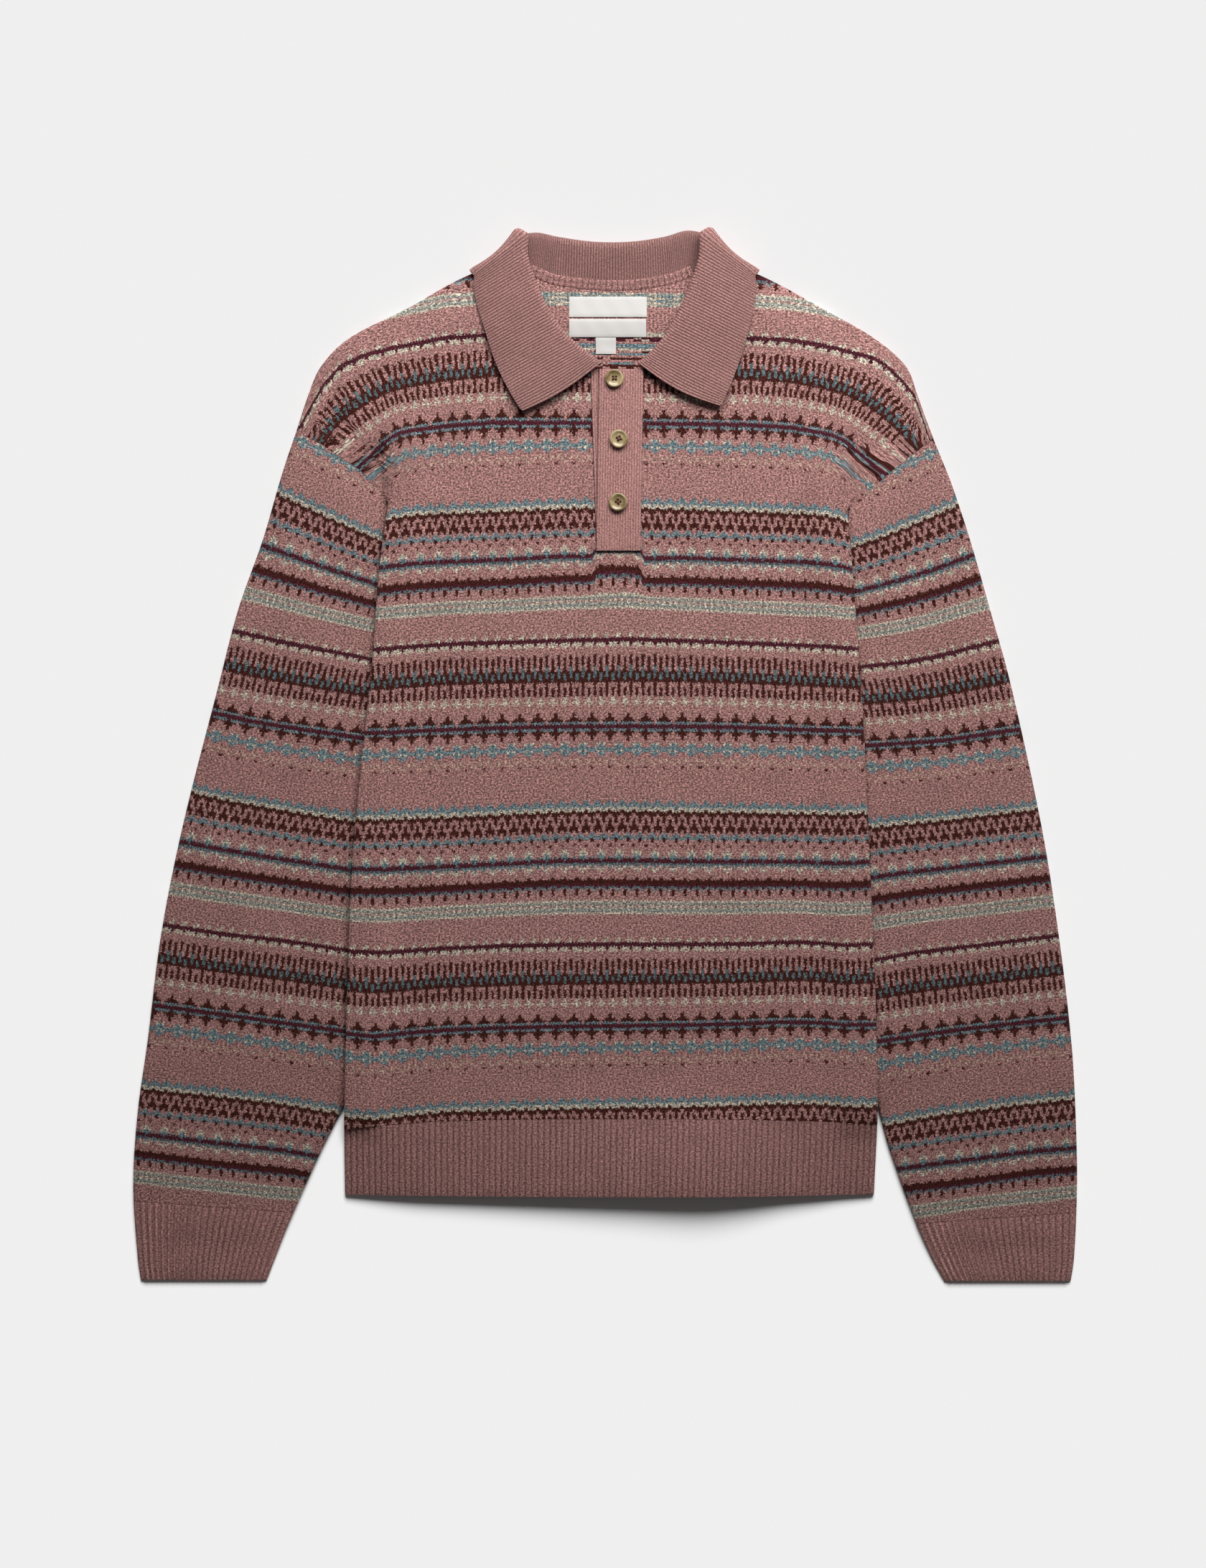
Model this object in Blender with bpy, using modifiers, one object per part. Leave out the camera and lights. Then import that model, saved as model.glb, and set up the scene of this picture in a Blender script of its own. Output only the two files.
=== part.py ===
"""Knit polo shirt, laid flat on its back.

Frame: +X is the wearer's left, +Y points at the collar, +Z is up and away from the surface.
The origin is on the surface, under the middle of the garment. Tables are in millimetres.
The shirt is built in layers: the back panel and the lower half of each sleeve lie on the
surface, the front panel and the upper half of each sleeve lie on them, the inner edge of each
sleeve is tucked under the side of the body, and the collar folds over the front and under the back.
"""

import math
from typing import Callable, NamedTuple

import bmesh
import bpy
from mathutils import Vector

MM = 0.001

# Cloth and how it lies
WALL = 2.5              # two-colour knit with its floats
SEAM_GAP = 0.3
ARMHOLE_GAP = 0.4
LAYER_GAP = 0.6         # between two layers at a folded or sewn edge
BODY_LOFT = 2.8         # what the front stands off the back in the middle, over LAYER_GAP
SLEEVE_LOFT = 1.8
LOFT_REACH = 70.0       # from an edge to the full loft
STACK = 2 * WALL + LAYER_GAP
EDGE_ROUNDING = ((0.0, 1.3), (1.5, 0.3), (4.0, 0.0))    # (distance from a folded edge, drop)

# The side of the body lies over the sleeve
TUCK_LIFT = STACK + 0.9
TUCK_FLAT = 17.0        # the raised strip, from the side inwards
TUCK_END = 42.0         # and where it is down on the surface again
TUCK_OUTSIDE = 9.0      # above the underarm the fold fades out over this width
FOLD_TOP = 240.0        # the soft fold in the front starts here

# The collar's leaf lies under the back of the neck
LEAF_WALL = 2.4
NECK_LIFT = LEAF_WALL + 0.4
NECK_LIFT_FULL_Y = 328.6
NECK_LIFT_FOOT_Y = 301.1
NECK_LIFT_X = ((-145.0, 0.0), (-113.0, 1.0), (128.0, 1.0), (160.0, 0.0))

# Ribs
RIB_HEIGHT = 0.8
HEM_RIBS = 88
CUFF_RIBS = 23
COLLAR_RIB_PITCH = 3.75
PLAIN_STEP = 8          # a plain face keeps one in this many of the ribbed face's columns

# Columns of a panel's half, from its side inwards
EDGE_STEPS = (0.0, 1.5, 9.0, TUCK_FLAT, 29.0, TUCK_END)
INNER_FRACTIONS = (1 / 3, 2 / 3, 1.0)
FULL_HALF = 90.0        # a narrower half squeezes its columns

# Heights in Y that the rows of both panels run through
PANEL_ROWS = (
    371.0, 366.0, 360.0, 354.0, 350.0, 335.6, 328.6, 314.0, 306.5, 301.1, 296.0, 290.3,
    270.8, 259.0, 248.1, 237.9, 226.0, 215.0, 203.0, 189.8, 184.4, 172.0, 158.0, 153.1,
    125.0, 80.0, 20.0, -45.0, -110.0, -175.0, -215.0, -245.0, -263.8, -273.5,
)
HEM_FOOT_Y = -332.0
HEM_ROWS = 3

SLOT_TOP_Y = 290.3
SLOT_FOOT_Y = 153.1
BACK_NECK_Y = 350.0


class Outline(NamedTuple):
    """One side of the garment: plan curves as (y, x) points, from the collar to the hem."""
    name: str
    sign: int
    shoulder: tuple
    armhole: tuple
    side: tuple
    front_neck: tuple
    back_neck: tuple
    sleeve_outer: tuple
    sleeve_inner: tuple         # where it shows, beside the hem
    hem_drop: float             # the rib's upper edge sags towards the side


RIGHT = Outline(
    name="right",
    sign=-1,
    shoulder=((375.6, -65.3), (357.2, -109.6), (335.6, -148.5), (314.0, -191.2),
              (292.4, -213.3), (270.8, -223.0), (248.1, -230.6)),
    armhole=((248.1, -230.6), (240.6, -226.8), (234.1, -214.4), (224.4, -200.3),
             (215.2, -185.8), (207.1, -177.1), (189.8, -163.1)),
    side=((189.8, -163.1), (135.8, -170.1), (71.0, -175.0), (-4.6, -183.1),
          (-80.2, -190.0), (-177.4, -193.9), (-263.8, -196.0), (-332.0, -195.5)),
    front_neck=((375.6, -65.3), (360.0, -66.5), (338.9, -60.5), (307.5, -40.5),
                (296.7, -23.2), (290.3, -11.3)),
    back_neck=((375.6, -65.3), (360.2, -54.2), (352.1, -30.9), (350.0, -5.9)),
    sleeve_outer=((248.1, -231.2), (206.0, -244.5), (163.0, -257.0), (109.0, -276.0),
                  (55.0, -290.0), (-53.0, -321.5), (-134.2, -333.7), (-215.0, -344.0),
                  (-269.0, -351.5), (-323.0, -354.8), (-378.0, -351.5), (-396.2, -349.0)),
    sleeve_inner=((-264.0, -196.3), (-296.2, -212.8), (-350.2, -237.1), (-377.2, -247.9),
                  (-396.2, -255.0)),
    hem_drop=8.0,
)

LEFT = Outline(
    name="left",
    sign=1,
    shoulder=((376.7, 78.3), (357.2, 123.1), (335.6, 163.0), (314.0, 201.0),
              (292.4, 225.8), (270.8, 234.6), (254.0, 240.6), (237.9, 246.8)),
    armhole=((237.9, 246.8), (227.6, 233.3), (216.8, 219.8), (200.6, 200.9), (184.4, 182.0)),
    side=((184.4, 182.0), (136.0, 186.0), (71.0, 191.0), (-4.6, 195.5),
          (-80.2, 198.8), (-177.4, 203.0), (-263.8, 204.7), (-332.0, 202.0)),
    front_neck=((376.7, 78.3), (360.0, 79.5), (346.9, 76.1), (326.4, 67.0),
                (305.9, 55.1), (295.1, 42.7), (290.3, 28.3)),
    back_neck=((376.7, 78.3), (359.4, 64.0), (354.0, 47.9), (350.0, 21.1)),
    sleeve_outer=((237.9, 247.4), (206.0, 259.7), (163.0, 274.0), (109.0, 289.5),
                  (55.0, 301.0), (-53.0, 328.0), (-134.2, 343.5), (-215.0, 350.5),
                  (-269.0, 353.7), (-323.0, 354.8), (-378.0, 352.6), (-396.2, 350.0)),
    sleeve_inner=((-265.0, 205.0), (-296.2, 213.8), (-350.2, 233.3), (-377.2, 245.2),
                  (-396.2, 255.5)),
    hem_drop=4.0,
)

# How far the sleeve reaches under the side of the body, as (y, width)
TUCK_WIDTH = ((160.0, 0.0), (140.0, 5.0), (110.0, 12.0), (80.0, 14.0),
              (-232.0, 14.0), (-248.0, 8.0), (-264.0, 0.0))
# How far the side of the body is raised over it, as (y, part of TUCK_LIFT)
BACK_RAISED = ((186.0, 0.0), (172.0, 0.5), (158.0, 1.0), (-264.0, 1.0), (-290.0, 0.0))
FRONT_RAISED = ((FOLD_TOP, 0.0), (203.0, 0.25), (186.0, 0.4), (172.0, 0.6), (158.0, 1.0),
                (-264.0, 1.0), (-290.0, 0.0))

# The slot that the placket fills, as (y, x)
SLOT_RIGHT_EDGE = ((SLOT_TOP_Y, -11.3), (SLOT_FOOT_Y, -6.8))
SLOT_LEFT_EDGE = ((SLOT_TOP_Y, 28.3), (SLOT_FOOT_Y, 26.5))


class SleeveCourse(NamedTuple):
    """A line of stitches across a sleeve, from its outer fold to its inner fold."""
    outer_y: float
    inner_y: float


SLEEVE_COURSES = {
    "right": (
        SleeveCourse(222.0, 175.0), SleeveCourse(195.0, 152.0), SleeveCourse(163.0, 125.0),
        SleeveCourse(131.0, 100.0), SleeveCourse(91.5, 70.0), SleeveCourse(45.0, 25.0),
        SleeveCourse(-5.0, -22.0), SleeveCourse(-60.0, -77.0), SleeveCourse(-112.0, -130.0),
        SleeveCourse(-165.0, -183.0), SleeveCourse(-215.0, -232.0), SleeveCourse(-250.0, -264.0),
        SleeveCourse(-290.0, -301.0), SleeveCourse(-335.0, -344.0),
    ),
    "left": (
        SleeveCourse(208.0, 165.0), SleeveCourse(180.0, 143.0), SleeveCourse(150.0, 118.0),
        SleeveCourse(118.0, 92.0), SleeveCourse(80.0, 60.0), SleeveCourse(35.0, 17.0),
        SleeveCourse(-15.0, -31.0), SleeveCourse(-68.0, -84.0), SleeveCourse(-120.0, -136.0),
        SleeveCourse(-172.0, -188.0), SleeveCourse(-222.0, -237.0), SleeveCourse(-256.0, -269.0),
        SleeveCourse(-298.0, -309.0), SleeveCourse(-344.0, -352.0),
    ),
}
CUFF_FOOT = {"right": SleeveCourse(-395.5, -395.5), "left": SleeveCourse(-396.5, -396.5)}
CUFF_ROWS = 3
SLEEVE_FRACTIONS = (0.2, 0.4, 0.6, 0.8)
# A tube's fold seen in section: (distance from the fold's edge, part of the tube's height)
FOLD_OUTSIDE = ((3.0, 0.0), (0.9, 0.16), (0.0, 0.5), (0.9, 0.84), (3.0, 1.0))
FOLD_INSIDE = ((3.6, 0.0), (2.8, 0.3), (2.5, 0.5), (2.8, 0.7), (3.6, 1.0))


class CollarRib(NamedTuple):
    """A rib line of the collar, through the middle of its wall, as (x, y, z) places.

    way is 1 where the leaf lies on the stand and -1 where it lies under it.
    """
    neck: tuple
    fold: tuple             # the outermost point of the fold
    edge: tuple             # the leaf's edge
    fold_radius: float
    way: int


class CollarCorner(NamedTuple):
    """The collar's turn around the shoulder, where it goes from the front to the back.

    The stand and the leaf turn half a circle about two axes, given in plan. The unit vectors
    point from each axis to the outside of the corner. The neck edge turns above the panels.
    """
    front_neck: tuple
    back_neck: tuple
    fold_axis: tuple
    fold_outward: tuple
    edge_axis: tuple
    edge_outward: tuple


CORNER_FOLD_RADIUS = 2.6
CORNER_STAND_Z, CORNER_STAND_RADIUS = 9.4, 3.0
CORNER_EDGE_Z, CORNER_EDGE_RADIUS = 6.4, 5.2
CORNER_NECK_TURN = (2.0, 2.8)       # the neck edge swings out and up past the panels by this

COLLAR_FRONT_RIGHT = (
    CollarRib((-10.5, 291.3, 7.2), (-3.0, 293.4, 10.8), (-62.3, 257.3, 11.2), 1.9, 1),
    CollarRib((-21.5, 296.8, 7.2), (-17.6, 304.2, 11.6), (-71.8, 272.9, 11.0), 2.2, 1),
    CollarRib((-38.9, 307.2, 7.8), (-32.0, 317.2, 12.6), (-80.4, 290.2, 11.2), 2.4, 1),
    CollarRib((-58.0, 336.0, 10.0), (-48.4, 344.0, 13.6), (-90.5, 319.8, 12.6), 2.6, 1),
    CollarRib((-64.2, 354.5, 9.6), (-54.6, 359.5, 14.2), (-95.4, 336.0, 12.4), 2.6, 1),
    CollarRib((-64.5, 368.0, 8.3), (-59.3, 375.1, 14.7), (-98.6, 350.5, 12.0), 2.6, 1),
)
CORNER_RIGHT = CollarCorner(
    front_neck=(-64.4, 371.0, 8.1), back_neck=(-61.3, 370.6, 4.2),
    fold_axis=(-60.7, 388.3), fold_outward=(-0.85, 0.53),
    edge_axis=(-98.3, 359.6), edge_outward=(-0.64, 0.77),
)
COLLAR_BACK = (
    CollarRib((-53.3, 360.8, 4.2), (-50.5, 391.0, 4.0), (-78.0, 341.0, 1.2), 2.8, -1),
    CollarRib((-38.7, 354.9, 4.2), (-36.0, 388.0, 4.3), (-46.0, 333.0, 1.2), 3.1, -1),
    CollarRib((-5.8, 350.9, 4.2), (-5.0, 384.0, 4.6), (-7.0, 331.5, 1.2), 3.4, -1),
    CollarRib((21.1, 350.9, 4.2), (20.0, 384.3, 4.6), (22.0, 331.5, 1.2), 3.4, -1),
    CollarRib((47.6, 354.9, 4.2), (45.0, 388.0, 4.3), (56.0, 333.0, 1.2), 3.1, -1),
    CollarRib((64.3, 360.8, 4.2), (62.0, 392.6, 4.0), (92.0, 341.0, 1.2), 2.8, -1),
)
CORNER_LEFT = CollarCorner(
    front_neck=(76.9, 371.6, 8.1), back_neck=(73.0, 370.9, 4.2),
    fold_axis=(73.7, 389.1), fold_outward=(0.85, 0.53),
    edge_axis=(112.6, 359.4), edge_outward=(0.60, 0.80),
)
COLLAR_FRONT_LEFT = (
    CollarRib((28.0, 291.2, 7.2), (25.5, 293.6, 10.8), (86.7, 261.1, 11.2), 1.9, 1),
    CollarRib((43.6, 296.7, 7.2), (36.0, 302.7, 11.6), (92.4, 273.9, 11.0), 2.2, 1),
    CollarRib((54.9, 307.0, 7.8), (46.6, 315.2, 12.6), (98.4, 289.0, 11.2), 2.4, 1),
    CollarRib((70.5, 336.0, 10.0), (60.3, 342.0, 13.6), (107.7, 319.0, 12.6), 2.6, 1),
    CollarRib((77.0, 354.5, 9.6), (66.6, 357.5, 14.2), (111.3, 335.0, 12.4), 2.6, 1),
    CollarRib((77.6, 366.6, 8.4), (71.6, 374.0, 14.7), (113.4, 350.0, 12.0), 2.6, 1),
)
LEAF_BULGE = 0.8
LEAF_MIDDLE = 4             # place of the leaf's middle in a section
STRETCH_STEPS = 24

# Placket, buttons and labels, as (y, x) edges and boxes in plan
PLACKET_RIGHT_EDGE = ((289.8, -4.6), (SLOT_FOOT_Y, -6.8))
PLACKET_LEFT_EDGE = ((289.8, 28.9), (SLOT_FOOT_Y, 26.5))
PLACKET_TOP_Y = 289.8
PLACKET_WALL = 2.2
BUTTON_RADIUS = 6.9
BUTTON_CENTRES = ((7.0, 282.7), (10.3, 237.3), (9.7, 189.8))
BUTTON_PROFILE = (      # (radius, height) down the outside from the top, then in along the foot
    (0.0, 2.0), (4.2, 2.0), (5.2, 2.8), (6.2, 3.0), (6.9, 2.4), (6.7, 1.4), (4.8, 0.0), (0.0, 0.0),
)
BUTTON_STEPS = 20
BUTTON_HOLE_RADIUS = 0.85
BUTTON_HOLE_OFFSET = 1.55
LABEL_WALL = 0.7


class Label(NamedTuple):
    node: str
    x_from: float
    x_to: float
    y_rows: tuple


LABELS = (
    Label("neck_label", -27.0, 31.3, (344.3, 329.0)),
    Label("fit_label", -27.0, 30.8, (327.6, 314.0)),
    Label("size_tab", -7.0, 8.1, (313.6, 301.4)),
)

# Colours of the yarns and trims, linear RGB
MAUVE = (0.29, 0.155, 0.145)
HORN = (0.19, 0.145, 0.075)
SATIN = (0.80, 0.78, 0.76)


# ---------------------------------------------------------------- curves

def through(points: tuple, at: float) -> float:
    """Smooth curve through (position, value) points, given at one position."""
    knots = sorted(points)
    if at <= knots[0][0]:
        return knots[0][1]
    if at >= knots[-1][0]:
        return knots[-1][1]
    i = next(k for k in range(len(knots) - 1) if knots[k][0] <= at <= knots[k + 1][0])
    (p0, v0), (p1, v1) = knots[i], knots[i + 1]

    def slope(k: int) -> float:
        low, high = max(k - 1, 0), min(k + 1, len(knots) - 1)
        return (knots[high][1] - knots[low][1]) / (knots[high][0] - knots[low][0])

    span = p1 - p0
    t = (at - p0) / span
    return ((2 * t ** 3 - 3 * t ** 2 + 1) * v0 + (t ** 3 - 2 * t ** 2 + t) * span * slope(i)
            + (3 * t ** 2 - 2 * t ** 3) * v1 + (t ** 3 - t ** 2) * span * slope(i + 1))


def straight(points: tuple, at: float) -> float:
    """Straight lines through (position, value) points, given at one position."""
    knots = sorted(points)
    if at <= knots[0][0]:
        return knots[0][1]
    for (p0, v0), (p1, v1) in zip(knots, knots[1:]):
        if at <= p1:
            return v0 + (v1 - v0) * (at - p0) / (p1 - p0)
    return knots[-1][1]


def mix(start: float, end: float, part: float) -> float:
    return start + (end - start) * part


def side_x(outline: Outline, y: float) -> float:
    """Edge of the panels at a height: shoulder, armhole seam or side."""
    for stretch in (outline.shoulder, outline.armhole, outline.side):
        if y >= stretch[-1][0]:
            return through(stretch, y)
    return outline.side[-1][1]


def inside(outline: Outline, x: float, y: float) -> float:
    """Distance from the edge of the panels inwards."""
    return outline.sign * (side_x(outline, y) - x)


def sleeve_inner_x(outline: Outline, y: float) -> float:
    """Inner fold of a sleeve: beside the body, under it, then free below."""
    if y <= outline.sleeve_inner[0][0]:
        return through(outline.sleeve_inner, y)
    return side_x(outline, y) + outline.sign * (SEAM_GAP + 0.2 - straight(TUCK_WIDTH, y))


# ---------------------------------------------------------------- heights of the layers

def neck_lift(x: float, y: float) -> float:
    """Rise of the back panel over the collar's leaf."""
    along = (y - NECK_LIFT_FOOT_Y) / (NECK_LIFT_FULL_Y - NECK_LIFT_FOOT_Y)
    return NECK_LIFT * min(1.0, max(0.0, along)) * straight(NECK_LIFT_X, x)


def tuck_profile(distance: float) -> float:
    """Section across the raised strip at the side of the body."""
    return straight(((-TUCK_OUTSIDE, 0.0), (0.0, 1.0), (TUCK_FLAT, 1.0), (29.0, 0.48),
                     (TUCK_END, 0.0)), distance)


def tuck_lift(raised: tuple, x: float, y: float) -> float:
    """Rise of a panel over the sleeve; above the underarm it follows the fold in the front."""
    part = straight(raised, y)
    if part == 0.0:
        return 0.0
    lift = 0.0
    for outline in (RIGHT, LEFT):
        fold_y = min(y, outline.side[0][0])
        lift = max(lift, tuck_profile(outline.sign * (side_x(outline, fold_y) - x)))
    return TUCK_LIFT * part * lift


def back_floor(x: float, y: float) -> float:
    return neck_lift(x, y) + tuck_lift(BACK_RAISED, x, y)


def body_loft(x: float, y: float) -> float:
    """Space between back and front over LAYER_GAP."""
    nearest = min(inside(RIGHT, x, y), inside(LEFT, x, y))
    return BODY_LOFT * math.sin(0.5 * math.pi * min(1.0, max(0.0, nearest / LOFT_REACH)))


def front_floor(x: float, y: float) -> float:
    lift = neck_lift(x, y) + tuck_lift(FRONT_RAISED, x, y)
    return lift + WALL + LAYER_GAP + body_loft(x, y)


def edge_drop(x: float, y: float) -> float:
    """Rounding of the body's folded edges; the armhole seam between them stays square."""
    drop = 0.0
    for outline in (RIGHT, LEFT):
        if outline.side[0][0] < y < outline.armhole[0][0]:
            continue
        drop = max(drop, straight(EDGE_ROUNDING, inside(outline, x, y)))
    return drop


# ---------------------------------------------------------------- meshes

def new_object(name: str, mesh: bpy.types.Mesh, material: bpy.types.Material,
               collection: bpy.types.Collection) -> bpy.types.Object:
    mesh.materials.append(material)
    piece = bpy.data.objects.new(name, mesh)
    collection.objects.link(piece)
    return piece


def make_material(name: str, colour: tuple, roughness: float) -> bpy.types.Material:
    material = bpy.data.materials.new(name)
    material.use_nodes = True
    shader = material.node_tree.nodes["Principled BSDF"]
    shader.inputs["Base Color"].default_value = (*colour, 1.0)
    shader.inputs["Roughness"].default_value = roughness
    shader.inputs["Metallic"].default_value = 0.0
    return material


class Wall(NamedTuple):
    """A cloth wall between two grids of points in millimetres, rows by columns.

    closed joins the last column to the first, as around a tube. keep says which cells exist.
    plain_outer and plain_inner list the columns that a face without ribs keeps.
    """
    outer: list
    inner: list
    closed: bool = False
    keep: Callable = lambda row, column: True
    plain_outer: frozenset = frozenset()
    plain_inner: frozenset = frozenset()


def thin_out(mesh: bmesh.types.BMesh, grid: list, columns: frozenset, cells: set) -> None:
    """Take the lines along unlisted columns out of a plain face, and keep its borders."""
    count = len(grid[0])
    lines = []
    for column in range(count):
        if column in columns:
            continue
        for upper, lower in zip(grid, grid[1:]):
            edge = mesh.edges.get((upper[column], lower[column]))
            if edge and all(face in cells for face in edge.link_faces):
                lines.append(edge)
    bmesh.ops.dissolve_edges(mesh, edges=lines, use_verts=True, use_face_split=False)


def build_wall(name: str, wall: Wall, material: bpy.types.Material,
               collection: bpy.types.Collection) -> bpy.types.Object:
    """Face both grids, and close the rim between them along every open edge of their cells."""
    rows, columns = len(wall.outer), len(wall.outer[0])
    last = columns if wall.closed else columns - 1
    cells = [(r, c, (c + 1) % columns) for r in range(rows - 1) for c in range(last)
             if wall.keep(r, c)]
    used = {(r + step, c) for r, left, right in cells for step in (0, 1) for c in (left, right)}
    mesh = bmesh.new()
    outer, inner = ([[mesh.verts.new(Vector(grid[r][c]) * MM) if (r, c) in used else None
                      for c in range(columns)] for r in range(rows)]
                    for grid in (wall.outer, wall.inner))
    border = {}
    outer_faces, inner_faces = set(), set()
    for r, left, right in cells:
        corners = ((r, left), (r + 1, left), (r + 1, right), (r, right))
        outer_faces.add(mesh.faces.new([outer[i][j] for i, j in corners]))
        inner_faces.add(mesh.faces.new([inner[i][j] for i, j in reversed(corners)]))
        for start, end in zip(corners, corners[1:] + corners[:1]):
            if border.pop((end, start), None) is None:
                border[(start, end)] = True
    for (i, j), (k, l) in border:
        mesh.faces.new((outer[k][l], outer[i][j], inner[i][j], inner[k][l]))
    if wall.plain_outer:
        thin_out(mesh, outer, wall.plain_outer, outer_faces)
    if wall.plain_inner:
        thin_out(mesh, inner, wall.plain_inner, inner_faces)
    bmesh.ops.recalc_face_normals(mesh, faces=mesh.faces)
    data = bpy.data.meshes.new(name)
    mesh.to_mesh(data)
    mesh.free()
    return new_object(name, data, material, collection)


# ---------------------------------------------------------------- panels and hem

def slot_x(y: float) -> tuple[float, float]:
    return straight(SLOT_RIGHT_EDGE, y), straight(SLOT_LEFT_EDGE, y)


def front_inner_x(y: float) -> tuple[float, float]:
    """Neck edge above the placket's slot, and the slot's edges below."""
    if y <= SLOT_TOP_Y:
        return slot_x(y)
    return through(RIGHT.front_neck, y), through(LEFT.front_neck, y)


def back_inner_x(y: float) -> tuple[float, float]:
    """Neck edge above the back neck, then lines that run into those of the front's slot."""
    if y >= BACK_NECK_Y:
        return through(RIGHT.back_neck, y), through(LEFT.back_neck, y)
    if y <= SLOT_TOP_Y:
        return slot_x(y)
    part = (BACK_NECK_Y - y) / (BACK_NECK_Y - SLOT_TOP_Y)
    starts = RIGHT.back_neck[-1][1], LEFT.back_neck[-1][1]
    return tuple(mix(start, end, part) for start, end in zip(starts, slot_x(SLOT_TOP_Y)))


def half_columns(outer_x: float, inner_x: float) -> list[float]:
    """Columns of half a panel, from its side to its inner edge."""
    width = abs(inner_x - outer_x)
    direction = math.copysign(1.0, inner_x - outer_x)
    squeeze = min(1.0, width / FULL_HALF)
    steps = [step * squeeze for step in EDGE_STEPS]
    steps += [mix(steps[-1], width, fraction) for fraction in INNER_FRACTIONS]
    return [outer_x + direction * step for step in steps]


def panel_columns(y: float, inner_x: Callable) -> list[float]:
    right_inner, left_inner = inner_x(y)
    right_half = half_columns(side_x(RIGHT, y), right_inner)
    left_half = half_columns(side_x(LEFT, y), left_inner)
    return right_half + left_half[::-1]


def hem_line_drop(x: float, y: float) -> float:
    """Sag of the lowest rows of the panels towards the sides."""
    fade = min(1.0, max(0.0, (PANEL_ROWS[-6] - y) / (PANEL_ROWS[-6] - PANEL_ROWS[-1])))
    outline = RIGHT if x < 0 else LEFT
    return outline.hem_drop * fade * abs(x / outline.side[-1][1]) ** 3


def panel(name: str, inner_x: Callable, floor: Callable, open_above: float, is_front: bool,
          material: bpy.types.Material, collection: bpy.types.Collection) -> bpy.types.Object:
    """A body panel; its middle column of cells is left out above open_above."""
    outer, inner = [], []
    for y in PANEL_ROWS:
        upper, lower = [], []
        foot = SEAM_GAP / 2 if y == PANEL_ROWS[-1] else 0.0
        for x in panel_columns(y, inner_x):
            place_y = y - hem_line_drop(x, y) + foot
            base = floor(x, y)
            drop = edge_drop(x, y)
            upper.append((x, place_y, base + WALL - (drop if is_front else 0.0)))
            lower.append((x, place_y, base + (0.0 if is_front else 0.6 * drop)))
        outer.append(upper)
        inner.append(lower)
    middle = len(EDGE_STEPS) + len(INNER_FRACTIONS) - 1

    def keep(row: int, column: int) -> bool:
        return column != middle or PANEL_ROWS[row] <= open_above

    return build_wall(name, Wall(outer, inner, keep=keep), material, collection)


def hem_rows(x: float) -> list[float]:
    top = PANEL_ROWS[-1] - hem_line_drop(x, PANEL_ROWS[-1]) - SEAM_GAP / 2
    return [mix(top, HEM_FOOT_Y, row / (HEM_ROWS - 1)) for row in range(HEM_ROWS)]


def hem(name: str, floor: Callable, columns: int, rib_height: float, is_front: bool,
        material: bpy.types.Material, collection: bpy.types.Collection) -> bpy.types.Object:
    """Ribbed border below a panel; every second column of the front is the top of a rib."""
    outer = [[] for _ in range(HEM_ROWS)]
    inner = [[] for _ in range(HEM_ROWS)]
    for column in range(columns + 1):
        part = column / columns
        middle_x = mix(side_x(RIGHT, HEM_FOOT_Y), side_x(LEFT, HEM_FOOT_Y), part)
        rib = rib_height if column % 2 else 0.0
        for row, y in enumerate(hem_rows(middle_x)):
            x = mix(side_x(RIGHT, y), side_x(LEFT, y), part)
            base = floor(x, y)
            drop = edge_drop(x, y)
            outer[row].append((x, y, base + WALL + rib - (drop if is_front else 0.0)))
            inner[row].append((x, y, base + (0.0 if is_front else 0.6 * drop)))
    plain = frozenset()
    if rib_height:
        plain = frozenset(range(0, columns + 1, PLAIN_STEP)) | {1, columns - 1}
    return build_wall(name, Wall(outer, inner, plain_inner=plain), material, collection)


# ---------------------------------------------------------------- sleeves and cuffs

def armhole_place(outline: Outline, part: float) -> Vector:
    """Place on the sleeve's side of the armhole seam, at a part of its way from the shoulder.

    The seam runs through the panels' own rows, so that the sleeve meets every edge of theirs.
    """
    top_y, foot_y = outline.armhole[0][0], outline.armhole[-1][0]
    line = [Vector((side_x(outline, y), y, 0.0)) for y in PANEL_ROWS if foot_y <= y <= top_y]
    along = line[-1] - line[0]
    away = Vector((along.y, -along.x, 0.0)).normalized() * -outline.sign
    position = part * (len(line) - 1)
    index = min(int(position), len(line) - 2)
    return line[index].lerp(line[index + 1], position - index) + away * ARMHOLE_GAP


def across(outline: Outline, course: SleeveCourse, part: float) -> Vector:
    start = Vector((through(outline.sleeve_outer, course.outer_y), course.outer_y, 0.0))
    end = Vector((sleeve_inner_x(outline, course.inner_y), course.inner_y, 0.0))
    return start.lerp(end, part)


def tube_section(plan: Callable, width: float, fractions: tuple, loft: float, outside: bool,
                 rib_height: float = 0.0) -> list[Vector]:
    """Section of a flattened tube: outer fold, upper layer, inner fold, lower layer.

    plan gives the place in plan at a part of the width, from the outer fold to the inner one.
    """
    fold = FOLD_OUTSIDE if outside else FOLD_INSIDE
    low = 0.0 if outside else WALL
    high = STACK if outside else WALL + LAYER_GAP
    section = []

    def add(part: float, height: float) -> None:
        place = plan(part)
        section.append(Vector((place.x, place.y, height)))

    for distance, height in fold:
        add(distance / width, mix(low, high, height))
    for index, part in enumerate(fractions):
        rib = rib_height if outside and index % 2 == 0 else 0.0
        add(part, high + loft * math.sin(math.pi * part) ** 0.7 + rib)
    for distance, height in reversed(fold):
        add(1.0 - distance / width, mix(low, high, height))
    for part in reversed(fractions):
        add(part, low)
    return section


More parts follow.
